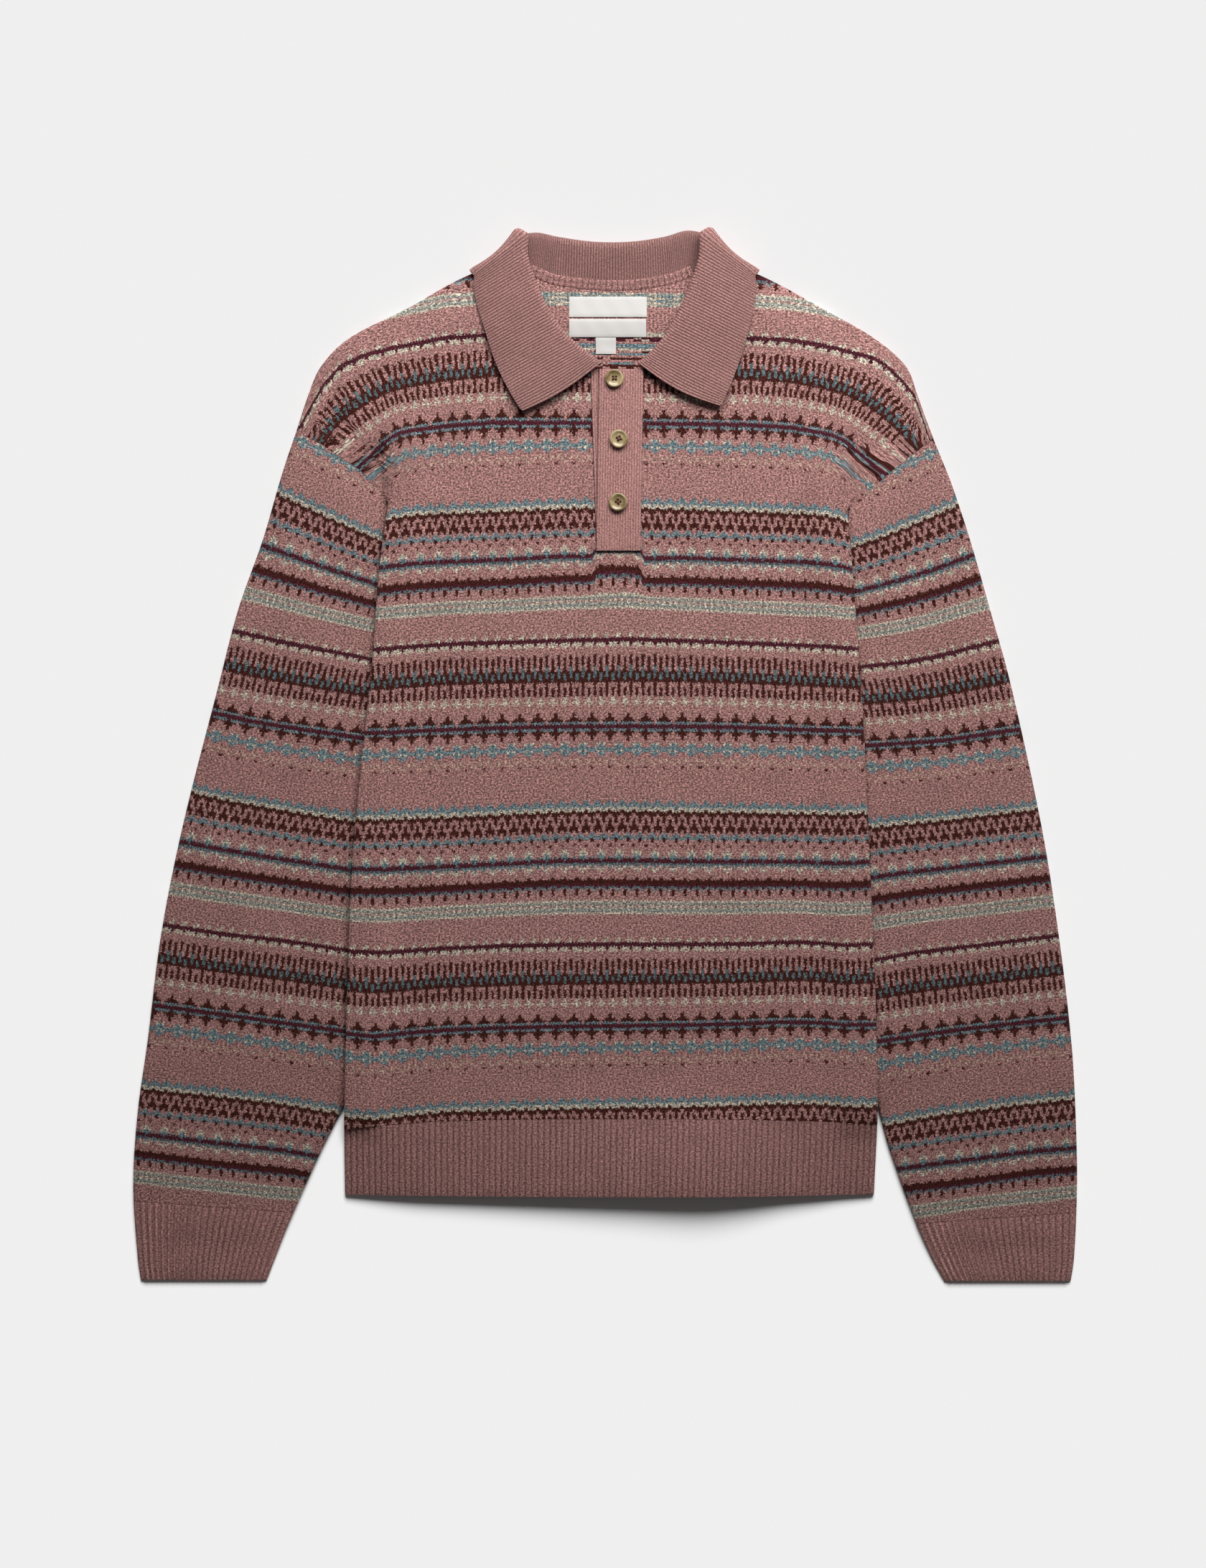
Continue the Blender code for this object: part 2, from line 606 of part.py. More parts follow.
def sleeve(outline: Outline, material: bpy.types.Material,
           collection: bpy.types.Collection) -> bpy.types.Object:
    """Flattened tube from the armhole seam to the cuff, one section for each course."""
    outer, inner = [], []
    courses = (None,) + SLEEVE_COURSES[outline.name]
    for index, course in enumerate(courses):
        def plan(part: float) -> Vector:
            if course is None:
                return armhole_place(outline, part)
            place = across(outline, course, part)
            if index == len(courses) - 1:
                place.y += SEAM_GAP / 2
            return place

        width = (plan(1.0) - plan(0.0)).length
        for grid, outside in ((outer, True), (inner, False)):
            grid.append(tube_section(plan, width, SLEEVE_FRACTIONS, SLEEVE_LOFT, outside))
    return build_wall(f"sleeve_{outline.name}", Wall(outer, inner, closed=True), material, collection)


def cuff(outline: Outline, material: bpy.types.Material,
         collection: bpy.types.Collection) -> bpy.types.Object:
    """Ribbed tube below the sleeve; its lower layer lies on the surface and is plain."""
    top, foot = SLEEVE_COURSES[outline.name][-1], CUFF_FOOT[outline.name]
    count = 2 * CUFF_RIBS - 1
    fractions = tuple(mix(0.04, 0.96, index / (count - 1)) for index in range(count))
    outer, inner = [], []
    for row in range(CUFF_ROWS):
        part_down = row / (CUFF_ROWS - 1)
        course = SleeveCourse(mix(top.outer_y, foot.outer_y, part_down),
                              mix(top.inner_y, foot.inner_y, part_down))

        def plan(part: float) -> Vector:
            place = across(outline, course, part)
            if row == 0:
                place.y -= SEAM_GAP / 2
            return place

        width = (plan(1.0) - plan(0.0)).length
        outer.append(tube_section(plan, width, fractions, SLEEVE_LOFT, True, RIB_HEIGHT))
        inner.append(tube_section(plan, width, fractions, SLEEVE_LOFT, False))
    fold = len(FOLD_OUTSIDE)
    total = 2 * fold + 2 * count
    upper = range(fold, fold + count)
    folds = set(range(fold)) | set(range(fold + count, 2 * fold + count))
    plain = folds | set(range(fold, total, PLAIN_STEP))
    wall = Wall(outer, inner, closed=True, plain_outer=frozenset(plain | set(upper)),
                plain_inner=frozenset(plain))
    return build_wall(f"cuff_{outline.name}", wall, material, collection)


# ---------------------------------------------------------------- collar

def collar_section(neck: Vector, centre: Vector, edge: Vector, apex_way: Vector,
                   leaf_way: Vector, radius: float, bulge: Vector) -> list[Vector]:
    """Middle of the collar's wall along a rib: neck seam, round fold, leaf, leaf edge."""
    leaf_top = centre + radius * leaf_way
    return [neck, centre - radius * leaf_way, centre + radius * apex_way, leaf_top,
            leaf_top.lerp(edge, 0.5) + bulge, edge]


def flat_section(rib: CollarRib) -> list[Vector]:
    neck, fold, edge = Vector(rib.neck), Vector(rib.fold), Vector(rib.edge)
    apex_way = Vector((*(fold - neck).xy, 0.0)).normalized()
    leaf_way = Vector((0.0, 0.0, rib.way))
    centre = fold - rib.fold_radius * apex_way
    bulge = Vector((0.0, 0.0, LEAF_BULGE if rib.way > 0 else 0.0))
    return collar_section(neck, centre, edge, apex_way, leaf_way, rib.fold_radius, bulge)


def corner_section(corner: CollarCorner, side: int, part: float) -> list[Vector]:
    """Section at a part of the way around the corner, from the front of the shirt to the back."""
    turn = math.pi * part
    up = Vector((0.0, 0.0, math.cos(turn)))
    fold_outward = Vector((*corner.fold_outward, 0.0))
    leaf_way = math.sin(turn) * fold_outward + up
    edge_way = math.sin(turn) * Vector((*corner.edge_outward, 0.0)) + up
    apex_way = Vector((-side * fold_outward.y, side * fold_outward.x, 0.0))
    fold_axis = Vector((*corner.fold_axis, CORNER_STAND_Z))
    centre = fold_axis + (CORNER_STAND_RADIUS + CORNER_FOLD_RADIUS) * leaf_way
    edge = Vector((*corner.edge_axis, CORNER_EDGE_Z)) + CORNER_EDGE_RADIUS * edge_way
    neck_out, neck_up = CORNER_NECK_TURN
    neck = Vector(corner.front_neck).lerp(Vector(corner.back_neck), 0.5 - 0.5 * math.cos(turn))
    neck += math.sin(turn) * Vector((side * neck_out, neck_up, 0.0))
    bulge = edge_way * LEAF_BULGE * max(0.0, math.cos(turn))
    return collar_section(neck, centre, edge, apex_way, leaf_way, CORNER_FOLD_RADIUS, bulge)


def between(lines: list[list[Vector]]) -> Callable:
    """Smooth surface through tabled sections, given at a part of the way along their leaves.

    The neck edge goes straight from section to section, as the panels' neck edges do.
    """
    spans = [(end[LEAF_MIDDLE] - start[LEAF_MIDDLE]).length for start, end in zip(lines, lines[1:])]

    def section(part: float) -> list[Vector]:
        along = part * sum(spans)
        index = 0
        while index < len(spans) - 1 and along > spans[index]:
            along -= spans[index]
            index += 1
        before, after = max(index - 1, 0), min(index + 2, len(lines) - 1)
        near = (spans[before], spans[index], spans[min(index + 1, len(spans) - 1)])
        picked = (lines[before], lines[index], lines[index + 1], lines[after])
        t = min(1.0, along / spans[index])
        points = [curve_point(*places, t, near) for places in zip(*picked)]
        points[0] = lines[index][0].lerp(lines[index + 1][0], t)
        return points

    return section


def curve_point(before: Vector, start: Vector, end: Vector, after: Vector, t: float,
                spans: tuple[float, float, float]) -> Vector:
    """Cubic between two of four points, with tangents that suit their uneven spans."""
    first, middle, last = spans
    leave = (end - start) / middle
    if before != start:
        leave = ((start - before) / first * middle + leave * first) / (first + middle)
    arrive = (end - start) / middle
    if after != end:
        arrive = (arrive * last + (after - end) / last * middle) / (middle + last)
    return ((2 * t ** 3 - 3 * t ** 2 + 1) * start + (t ** 3 - 2 * t ** 2 + t) * middle * leave
            + (3 * t ** 2 - 2 * t ** 3) * end + (t ** 3 - t ** 2) * middle * arrive)


def stretch_length(section: Callable) -> float:
    places = [section(step / STRETCH_STEPS)[LEAF_MIDDLE] for step in range(STRETCH_STEPS + 1)]
    return sum((end - start).length for start, end in zip(places, places[1:]))


def collar_middle() -> list[list[Vector]]:
    """Sections at every rib top and groove, evenly spaced along the middle of the leaf.

    The strip runs from the wearer's right front around the neck to the left front.
    """
    def right_corner(part: float) -> list[Vector]:
        return corner_section(CORNER_RIGHT, RIGHT.sign, part)

    def left_corner(part: float) -> list[Vector]:
        return corner_section(CORNER_LEFT, LEFT.sign, 1.0 - part)

    front_right = [flat_section(rib) for rib in COLLAR_FRONT_RIGHT] + [right_corner(0.0)]
    back = [right_corner(1.0)] + [flat_section(rib) for rib in COLLAR_BACK] + [left_corner(0.0)]
    front_left = [left_corner(1.0)] + [flat_section(rib) for rib in reversed(COLLAR_FRONT_LEFT)]
    stretches = (between(front_right), right_corner, between(back), left_corner,
                 between(front_left))
    lengths = [stretch_length(section) for section in stretches]
    count = 2 * round(sum(lengths) / COLLAR_RIB_PITCH)
    sections = []
    for step in range(count + 1):
        along = sum(lengths) * step / count
        index = 0
        while index < len(lengths) - 1 and along > lengths[index]:
            along -= lengths[index]
            index += 1
        sections.append(stretches[index](min(1.0, along / lengths[index])))
    return sections


def grid_normals(grid: list[list[Vector]]) -> list[list[Vector]]:
    """Normals of the middle surface; the neck edge, bunched at the corners, takes its neighbours'."""
    rows, columns = len(grid), len(grid[0])
    normals = []
    for r in range(rows):
        line = []
        for c in range(columns):
            along = grid[min(r + 1, rows - 1)][c] - grid[max(r - 1, 0)][c]
            over = grid[r][min(c + 1, columns - 1)] - grid[r][max(c - 1, 0)]
            line.append(along.cross(over).normalized())
        normals.append([line[1], *line[1:]])
    return normals


def collar(material: bpy.types.Material, collection: bpy.types.Collection) -> bpy.types.Object:
    """One ribbed strip, linked to the neck edge and folded over.

    The ribs are on the side that shows, and fade out where it turns down to lie on the surface.
    """
    middle = collar_middle()
    normals = grid_normals(middle)
    face, back = [], []
    for index, (points, outward) in enumerate(zip(middle, normals)):
        rib = RIB_HEIGHT if index % 2 and index < len(middle) - 1 else 0.0
        heights = [rib * min(1.0, max(0.0, 1.0 + 2.0 * n.z)) for n in outward]
        heights[0] = heights[-1] = 0.0
        face.append([p + (LEAF_WALL / 2 + h) * n for p, n, h in zip(points, outward, heights)])
        back.append([p - LEAF_WALL / 2 * n for p, n in zip(points, outward)])
    face = [list(column) for column in zip(*face)]
    back = [list(column) for column in zip(*back)]
    plain = frozenset(range(0, len(middle), 2))
    return build_wall("collar", Wall(face, back, plain_inner=plain), material, collection)


# ---------------------------------------------------------------- placket, buttons, labels

def strip(name: str, right_edge: tuple, left_edge: tuple, rows: tuple, floor: Callable,
          thickness: float, material: bpy.types.Material,
          collection: bpy.types.Collection) -> bpy.types.Object:
    """A narrow band of cloth that lies on the height given by floor."""
    outer, inner = [], []
    for y in rows:
        right_x, left_x = straight(right_edge, y), straight(left_edge, y)
        xs = (right_x, right_x + 1.0, left_x - 1.0, left_x)
        drops = (0.6, 0.0, 0.0, 0.6)
        outer.append([(x, y, floor(x, y) + thickness - drop) for x, drop in zip(xs, drops)])
        inner.append([(x, y, floor(x, y)) for x in xs])
    return build_wall(name, Wall(outer, inner), material, collection)


def placket_rows(top: float) -> tuple:
    foot = SLOT_FOOT_Y + SEAM_GAP
    inner_rows = [y for y in PANEL_ROWS if foot < y < top]
    return (top, *inner_rows, foot)


def set_in(edge: tuple, distance: float) -> tuple:
    return tuple((y, x + distance) for y, x in edge)


def plackets(material: bpy.types.Material, collection: bpy.types.Collection) -> None:
    """The under band fills the slot in the front's own layer, and the top band laps over it."""
    strip("placket_under", set_in(SLOT_RIGHT_EDGE, SEAM_GAP), set_in(SLOT_LEFT_EDGE, -SEAM_GAP),
          placket_rows(PLACKET_TOP_Y), front_floor, WALL, material, collection)
    strip("placket_top", PLACKET_RIGHT_EDGE, PLACKET_LEFT_EDGE, placket_rows(PLACKET_TOP_Y),
          placket_top_floor, PLACKET_WALL, material, collection)


def placket_top_floor(x: float, y: float) -> float:
    return front_floor(x, y) + WALL + SEAM_GAP


def buttons(material: bpy.types.Material, collection: bpy.types.Collection,
            cutters: bpy.types.Collection) -> None:
    """Turned buttons with a sunk middle and four sewing holes."""
    for number, (x, y) in enumerate(BUTTON_CENTRES, start=1):
        base = placket_top_floor(x, y) + PLACKET_WALL + SEAM_GAP
        profile = bpy.data.meshes.new("button_profile")
        points = [Vector((radius, 0.0, height)) * MM for radius, height in BUTTON_PROFILE]
        profile.from_pydata(points, [(i, i + 1) for i in range(len(points) - 1)], [])
        button = new_object(f"button_{number}", profile, material, collection)
        button.location = Vector((x, y, base)) * MM
        turn = button.modifiers.new("turn", "SCREW")
        turn.steps = turn.render_steps = BUTTON_STEPS
        turn.use_merge_vertices = True
        turn.merge_threshold = 0.00001
        turn.use_smooth_shade = False
        holes = bmesh.new()
        for quarter in range(4):
            angle = math.radians(45.0 + 90.0 * quarter)
            bmesh.ops.create_cone(holes, cap_ends=True, segments=6, depth=6.0 * MM,
                                  radius1=BUTTON_HOLE_RADIUS * MM, radius2=BUTTON_HOLE_RADIUS * MM)
            offset = Vector((math.cos(angle), math.sin(angle), 0.0)) * BUTTON_HOLE_OFFSET * MM
            bmesh.ops.translate(holes, verts=holes.verts[-12:], vec=offset)
        data = bpy.data.meshes.new("button_holes")
        holes.to_mesh(data)
        holes.free()
        cutter = bpy.data.objects.new(f"holes_{number}", data)
        cutters.objects.link(cutter)
        cutter.location = button.location
        cutter.hide_render = True
        cutter.display_type = "WIRE"
        cut = button.modifiers.new("sewing_holes", "BOOLEAN")
        cut.operation = "DIFFERENCE"
        cut.solver = "EXACT"
        cut.object = cutter


def labels(material: bpy.types.Material, collection: bpy.types.Collection) -> None:
    """Bare woven labels on the inside of the back neck."""
    for label in LABELS:
        right_edge = tuple((y, label.x_from) for y in label.y_rows)
        left_edge = tuple((y, label.x_to) for y in label.y_rows)
        top, foot = label.y_rows
        rows = (top, *[y for y in PANEL_ROWS if foot < y < top], foot)
        outer, inner = [], []
        for y in rows:
            xs = straight(right_edge, y), straight(left_edge, y)
            base = [back_floor(x, y) + WALL + SEAM_GAP for x in xs]
            outer.append([(x, y, z + LABEL_WALL) for x, z in zip(xs, base)])
            inner.append([(x, y, z) for x, z in zip(xs, base)])
        build_wall(label.node, Wall(outer, inner), material, collection)


def main() -> None:
    for old in list(bpy.data.objects):
        bpy.data.objects.remove(old, do_unlink=True)
    shirt = bpy.data.collections.new("knit_polo_shirt")
    cutters = bpy.data.collections.new("cutters")
    for collection in (shirt, cutters):
        bpy.context.scene.collection.children.link(collection)
    knit = make_material("knit", MAUVE, 0.95)
    rib = make_material("rib_knit", MAUVE, 0.95)
    horn = make_material("horn", HORN, 0.3)
    satin = make_material("label_satin", SATIN, 0.6)

    panel("back", back_inner_x, back_floor, BACK_NECK_Y, False, knit, shirt)
    panel("front", front_inner_x, front_floor, SLOT_FOOT_Y, True, knit, shirt)
    hem("hem_back", back_floor, 28, 0.0, False, rib, shirt)
    hem("hem_front", front_floor, 2 * HEM_RIBS, RIB_HEIGHT, True, rib, shirt)
    for outline in (RIGHT, LEFT):
        sleeve(outline, knit, shirt)
        cuff(outline, rib, shirt)
    collar(rib, shirt)
    plackets(rib, shirt)
    buttons(horn, shirt, cutters)
    labels(satin, shirt)


main()
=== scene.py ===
"""Looks of the knit polo shirt: its knitted cloth and ribs, buttons, bare labels and studio.

Frame: +X is the wearer's left, +Y points at the collar, +Z is up from the surface it lies on.
Tables and grids of points are in millimetres, and meshes are in metres.
"""

import logging
from collections.abc import Callable, Iterable
from dataclasses import dataclass
from enum import Enum
from math import ceil, copysign, cos, exp, hypot, pi, radians, sin, sqrt, tau

import bmesh
import bpy
from mathutils import Matrix, Vector


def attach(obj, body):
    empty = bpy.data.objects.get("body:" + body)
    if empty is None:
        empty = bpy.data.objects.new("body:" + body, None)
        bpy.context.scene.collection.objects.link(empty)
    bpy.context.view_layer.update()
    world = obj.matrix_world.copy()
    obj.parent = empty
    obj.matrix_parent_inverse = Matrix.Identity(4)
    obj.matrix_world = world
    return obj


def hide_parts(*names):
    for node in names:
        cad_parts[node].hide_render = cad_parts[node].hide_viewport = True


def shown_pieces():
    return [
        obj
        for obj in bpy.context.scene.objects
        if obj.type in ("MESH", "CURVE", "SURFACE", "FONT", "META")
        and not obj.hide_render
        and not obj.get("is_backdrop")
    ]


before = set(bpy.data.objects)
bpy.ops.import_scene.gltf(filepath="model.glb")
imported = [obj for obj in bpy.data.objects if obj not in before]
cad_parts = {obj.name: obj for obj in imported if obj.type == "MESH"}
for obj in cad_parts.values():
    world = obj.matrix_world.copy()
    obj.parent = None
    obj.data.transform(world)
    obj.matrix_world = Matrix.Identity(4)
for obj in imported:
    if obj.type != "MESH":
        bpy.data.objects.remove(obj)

LOG = logging.getLogger("knit_polo_shirt")
MM = 0.001

Pair = tuple[float, float]
Triple = tuple[float, float, float]
Curve = tuple[Pair, ...]
Section = list[Vector]
Grid = list[Section]
Plan = Callable[[float], Vector]
Height = Callable[[float, float], float]
Knot = tuple[Vector, Vector, Pair]  # a point outside, one inside, and the stitch there
Shoulders = dict[int, list[Triple]]
Material = bpy.types.Material
Object = bpy.types.Object
Socket = bpy.types.NodeSocket
Setting = Socket | float | tuple | None


# ---- curves

def mix(start: float, end: float, part: float) -> float:
    """Value at a part of the way from start to end."""
    return start + (end - start) * part


def clamp(value: float) -> float:
    """The value, kept between 0 and 1."""
    return min(1.0, max(0.0, value))


def ease(part: float) -> float:
    """A part of the way, with a soft start and end."""
    part = clamp(part)
    return part * part * (3.0 - 2.0 * part)


def cubic(start: float | Vector, end: float | Vector, leave: float | Vector,
          arrive: float | Vector, t: float) -> float | Vector:
    """Curve from start to end, t of the way, with the tangents it leaves and arrives with."""
    return ((2 * t ** 3 - 3 * t ** 2 + 1) * start + (t ** 3 - 2 * t ** 2 + t) * leave
            + (3 * t ** 2 - 2 * t ** 3) * end + (t ** 3 - t ** 2) * arrive)


def through(points: Curve, at: float) -> float:
    """Smooth curve through (position, value) points.

    Args:
        points: the places the curve runs through, in any order.
        at: the position asked for; beyond the ends the curve stays level.

    Returns:
        The curve's value there.
    """
    knots = sorted(points)
    if at <= knots[0][0]:
        return knots[0][1]
    if at >= knots[-1][0]:
        return knots[-1][1]
    i = next(k for k in range(len(knots) - 1) if knots[k][0] <= at <= knots[k + 1][0])
    (p0, v0), (p1, v1) = knots[i], knots[i + 1]

    def slope(k: int) -> float:
        """Slope of the curve at a knot, from its neighbours."""
        low, high = max(k - 1, 0), min(k + 1, len(knots) - 1)
        return (knots[high][1] - knots[low][1]) / (knots[high][0] - knots[low][0])

    span = p1 - p0
    return cubic(v0, v1, span * slope(i), span * slope(i + 1), (at - p0) / span)


def straight(points: Curve, at: float, softly: bool = False) -> float:
    """Straight lines through (position, value) points, or soft steps between them.

    Args:
        points: the places the line runs through, in any order.
        at: the position asked for; beyond the ends the line stays level.
        softly: whether the line eases in and out of every point.

    Returns:
        The line's value there.
    """
    knots = sorted(points)
    if at <= knots[0][0]:
        return knots[0][1]
    for (p0, v0), (p1, v1) in zip(knots, knots[1:]):
        if at <= p1:
            part = (at - p0) / (p1 - p0)
            return mix(v0, v1, ease(part) if softly else part)
    return knots[-1][1]


def spread(stops: Iterable[float], step: float) -> list[float]:
    """The stops, with evenly spaced places put between them no further apart than step."""
    stops = list(stops)
    places = stops[:1]
    for start, end in zip(stops, stops[1:]):
        count = max(1, ceil(abs(end - start) / step))
        places += [mix(start, end, k / count) for k in range(1, count + 1)]
    return places


def stretch_at(lengths: list[float], along: float) -> tuple[int, float]:
    """Which of the lengths, laid end to end, a distance falls in, and the part of it passed."""
    index = 0
    while index < len(lengths) - 1 and along > lengths[index]:
        along -= lengths[index]
        index += 1
    return index, along / lengths[index]


# ---- meshes and objects

def put(name: str, data: bpy.types.ID) -> Object:
    """Makes an object of a mesh, light or camera, and puts it in the scene."""
    thing = bpy.data.objects.new(name, data)
    bpy.context.scene.collection.objects.link(thing)
    return thing


def write(work: bmesh.types.BMesh, mesh: bpy.types.Mesh) -> bpy.types.Mesh:
    """Puts what was drawn into a mesh, with its faces turned outwards."""
    bmesh.ops.recalc_face_normals(work, faces=work.faces)
    work.to_mesh(mesh)
    work.free()
    return mesh


def smooth(mesh: bpy.types.Mesh, sharp_from: float = 180.0) -> None:
    """Shades a mesh smooth, but for edges that turn by more than sharp_from degrees."""
    mesh.polygons.foreach_set("use_smooth", [True] * len(mesh.polygons))
    mesh.set_sharp_from_angle(angle=radians(sharp_from))


# ---- the garment's plan and layers

SIDE_CLEARANCE = 0.5  # where nothing is tucked, the sleeve lies this far from the side

@dataclass(frozen=True)
class Outline:
    """One side of the garment: plan curves as (y, x) points, from the collar to the hem."""
    name: str
    sign: int
    shoulder: Curve
    armhole: Curve
    side: Curve
    front_neck: Curve
    back_neck: Curve
    sleeve_outer: Curve
    sleeve_inner: Curve  # where it shows, beside the hem
    sleeve_courses: Curve  # (y at the outer fold, y at the inner fold) of a row of stitches
    cuff_foot: float
    hem_drop: float  # the rib's upper edge sags towards the side

    def side_x(self, y: float) -> float:
        """Edge of the panels at a height: shoulder, armhole seam or side."""
        for stretch in (self.shoulder, self.armhole, self.side):
            if y >= stretch[-1][0]:
                return through(stretch, y)
        return self.side[-1][1]

    def inside(self, x: float, y: float) -> float:
        """Distance from the edge of the panels inwards."""
        return self.sign * (self.side_x(y) - x)

    def sleeve_inner_x(self, y: float) -> float:
        """Inner fold of the sleeve: beside the body, under it, then free below."""
        if y <= self.sleeve_inner[0][0]:
            return through(self.sleeve_inner, y)
        return self.side_x(y) + self.sign * (SIDE_CLEARANCE - straight(TUCK_WIDTH, y))


# How far the sleeve reaches under the side of the body, as (y, width)
TUCK_WIDTH = ((188, 0), (172, 4), (140, 9), (110, 12), (80, 14), (-232, 14), (-248, 8),
              (-264, 0))

RIGHT = Outline(
    name="right",
    sign=-1,
    shoulder=((375.6, -65.3), (357.2, -109.6), (335.6, -148.5), (314, -191.2), (292.4, -213.3),
              (270.8, -223), (248.1, -230.6)),
    armhole=((248.1, -230.6), (240.6, -226.8), (234.1, -214.4), (224.4, -200.3), (215.2, -185.8),
             (207.1, -177.1), (189.8, -163.1)),
    side=((189.8, -163.1), (135.8, -170.1), (71, -175), (-4.6, -183.1), (-80.2, -190),
          (-177.4, -193.9), (-263.8, -196), (-332, -195.5)),
    front_neck=((375.6, -65.3), (360, -66.5), (338.9, -60.5), (307.5, -40.5), (296.7, -23.2),
                (290.3, -11.3)),
    back_neck=((375.6, -65.3), (360.2, -54.2), (352.1, -30.9), (350, -5.9)),
    sleeve_outer=((248.1, -231.2), (206, -244.5), (163, -257), (109, -276), (55, -290),
                  (-53, -317.5), (-134.2, -333.7), (-215, -344), (-269, -351.5), (-323, -354.8),
                  (-378, -351.5), (-396.2, -349)),
    sleeve_inner=((-264, -196.3), (-296.2, -212.8), (-350.2, -237.1), (-377.2, -247.9),
                  (-396.2, -255)),
    sleeve_courses=((222, 175), (195, 152), (163, 125), (131, 100), (91.5, 70), (45, 25),
                    (-5, -22), (-60, -77), (-112, -130), (-165, -183), (-215, -232), (-250, -264),
                    (-290, -301), (-335, -344)),
    cuff_foot=-394.4,
    hem_drop=8,
)

LEFT = Outline(
    name="left",
    sign=1,
    shoulder=((376.7, 78.3), (357.2, 123.1), (335.6, 163), (314, 201), (292.4, 225.8),
              (270.8, 234.6), (254, 240.6), (237.9, 246.8)),
    armhole=((237.9, 246.8), (227.6, 233.3), (216.8, 219.8), (200.6, 200.9), (184.4, 182)),
    side=((184.4, 182), (136, 186), (71, 191), (-4.6, 195.5), (-80.2, 198.8), (-177.4, 203),
          (-263.8, 204.7), (-332, 202)),
    front_neck=((376.7, 78.3), (360, 79.5), (346.9, 76.1), (326.4, 67), (305.9, 55.1),
                (295.1, 42.7), (290.3, 28.3)),
    back_neck=((376.7, 78.3), (359.4, 64), (354, 47.9), (350, 21.1)),
    sleeve_outer=((237.9, 247.4), (206, 259.7), (163, 274), (109, 289.5), (55, 304.5), (-53, 328),
                  (-134.2, 340.9), (-215, 350.5), (-269, 353.7), (-323, 354.8), (-378, 352.6),
                  (-396.2, 350)),
    sleeve_inner=((-265, 205), (-296.2, 213.8), (-350.2, 233.3), (-377.2, 245.2),
                  (-396.2, 255.5)),
    sleeve_courses=((208, 165), (180, 143), (150, 118), (118, 92), (80, 60), (35, 17), (-15, -31),
                    (-68, -84), (-120, -136), (-172, -188), (-222, -237), (-256, -269),
                    (-298, -309), (-344, -352)),
    cuff_foot=-395.3,
    hem_drop=4,
)
OUTLINES = (RIGHT, LEFT)


CREASE_ENDS = 1.3  # how softly a crease fades towards its ends
CREASE_REACHES = 3.0  # beyond this many reaches to its side nothing is left of it


@dataclass(frozen=True)
class Crease:
    """A soft trough or ridge in the cloth, along a line in plan.

    height is negative for a trough; reach is how far it spreads to each side.
    """
    start: Pair
    end: Pair
    height: float
    reach: float

    def lift(self, x: float, y: float) -> float:
        """What the crease adds to the cloth's height at a place."""
        way = Vector(self.end) - Vector(self.start)
        offset = Vector((x, y)) - Vector(self.start)
        part = offset.dot(way) / way.length_squared
        if not 0.0 < part < 1.0:
            return 0.0
        away = abs(way.x * offset.y - way.y * offset.x) / way.length / self.reach
        if away > CREASE_REACHES:
            return 0.0
        return self.height * sin(pi * part) ** CREASE_ENDS * exp(-away * away)


def crease_lift(creases: Iterable[Crease], x: float, y: float) -> float:
    """What all the creases together add to the cloth's height at a place."""
    return sum(crease.lift(x, y) for crease in creases)


BODY_CREASES = (
    Crease((-168, 252), (-169, 186), -2.2, 4),  # beside the fold over the sleeve
    Crease((187, 248), (187.5, 180), -2.2, 4),
    Crease((-218, 272), (-180, 222), -1.4, 9),  # along the sleeve's head
    Crease((232, 268), (196, 214), -1.4, 9),
    Crease((-150, 214), (-96, 168), 0.9, 9),
    Crease((168, 206), (118, 172), 0.8, 8),
    Crease((-176, 60), (-150, -40), -0.6, 12),
    Crease((188, 40), (160, -70), -0.6, 12),
)
SLEEVE_CREASES = {
    "right": (Crease((-190, 240), (-176, 176), -1.6, 9),  # from the underarm up
              Crease((-232, 214), (-214, 120), -1.3, 12),
              Crease((-204, 176), (-196, 40), -0.9, 9),
              Crease((-262, 110), (-238, 20), -1, 12),
              Crease((-300, -40), (-262, -160), 0.9, 14),
              Crease((-236, -90), (-214, -220), -0.9, 12)),
    "left": (Crease((208, 230), (192, 170), -1.6, 9),
             Crease((238, 204), (226, 110), -1.3, 12),
             Crease((214, 166), (208, 30), -0.9, 9),
             Crease((262, 70), (252, -30), -1, 12),
             Crease((318, -60), (290, -180), 0.9, 14),
             Crease((240, -120), (228, -230), -0.9, 12)),
}


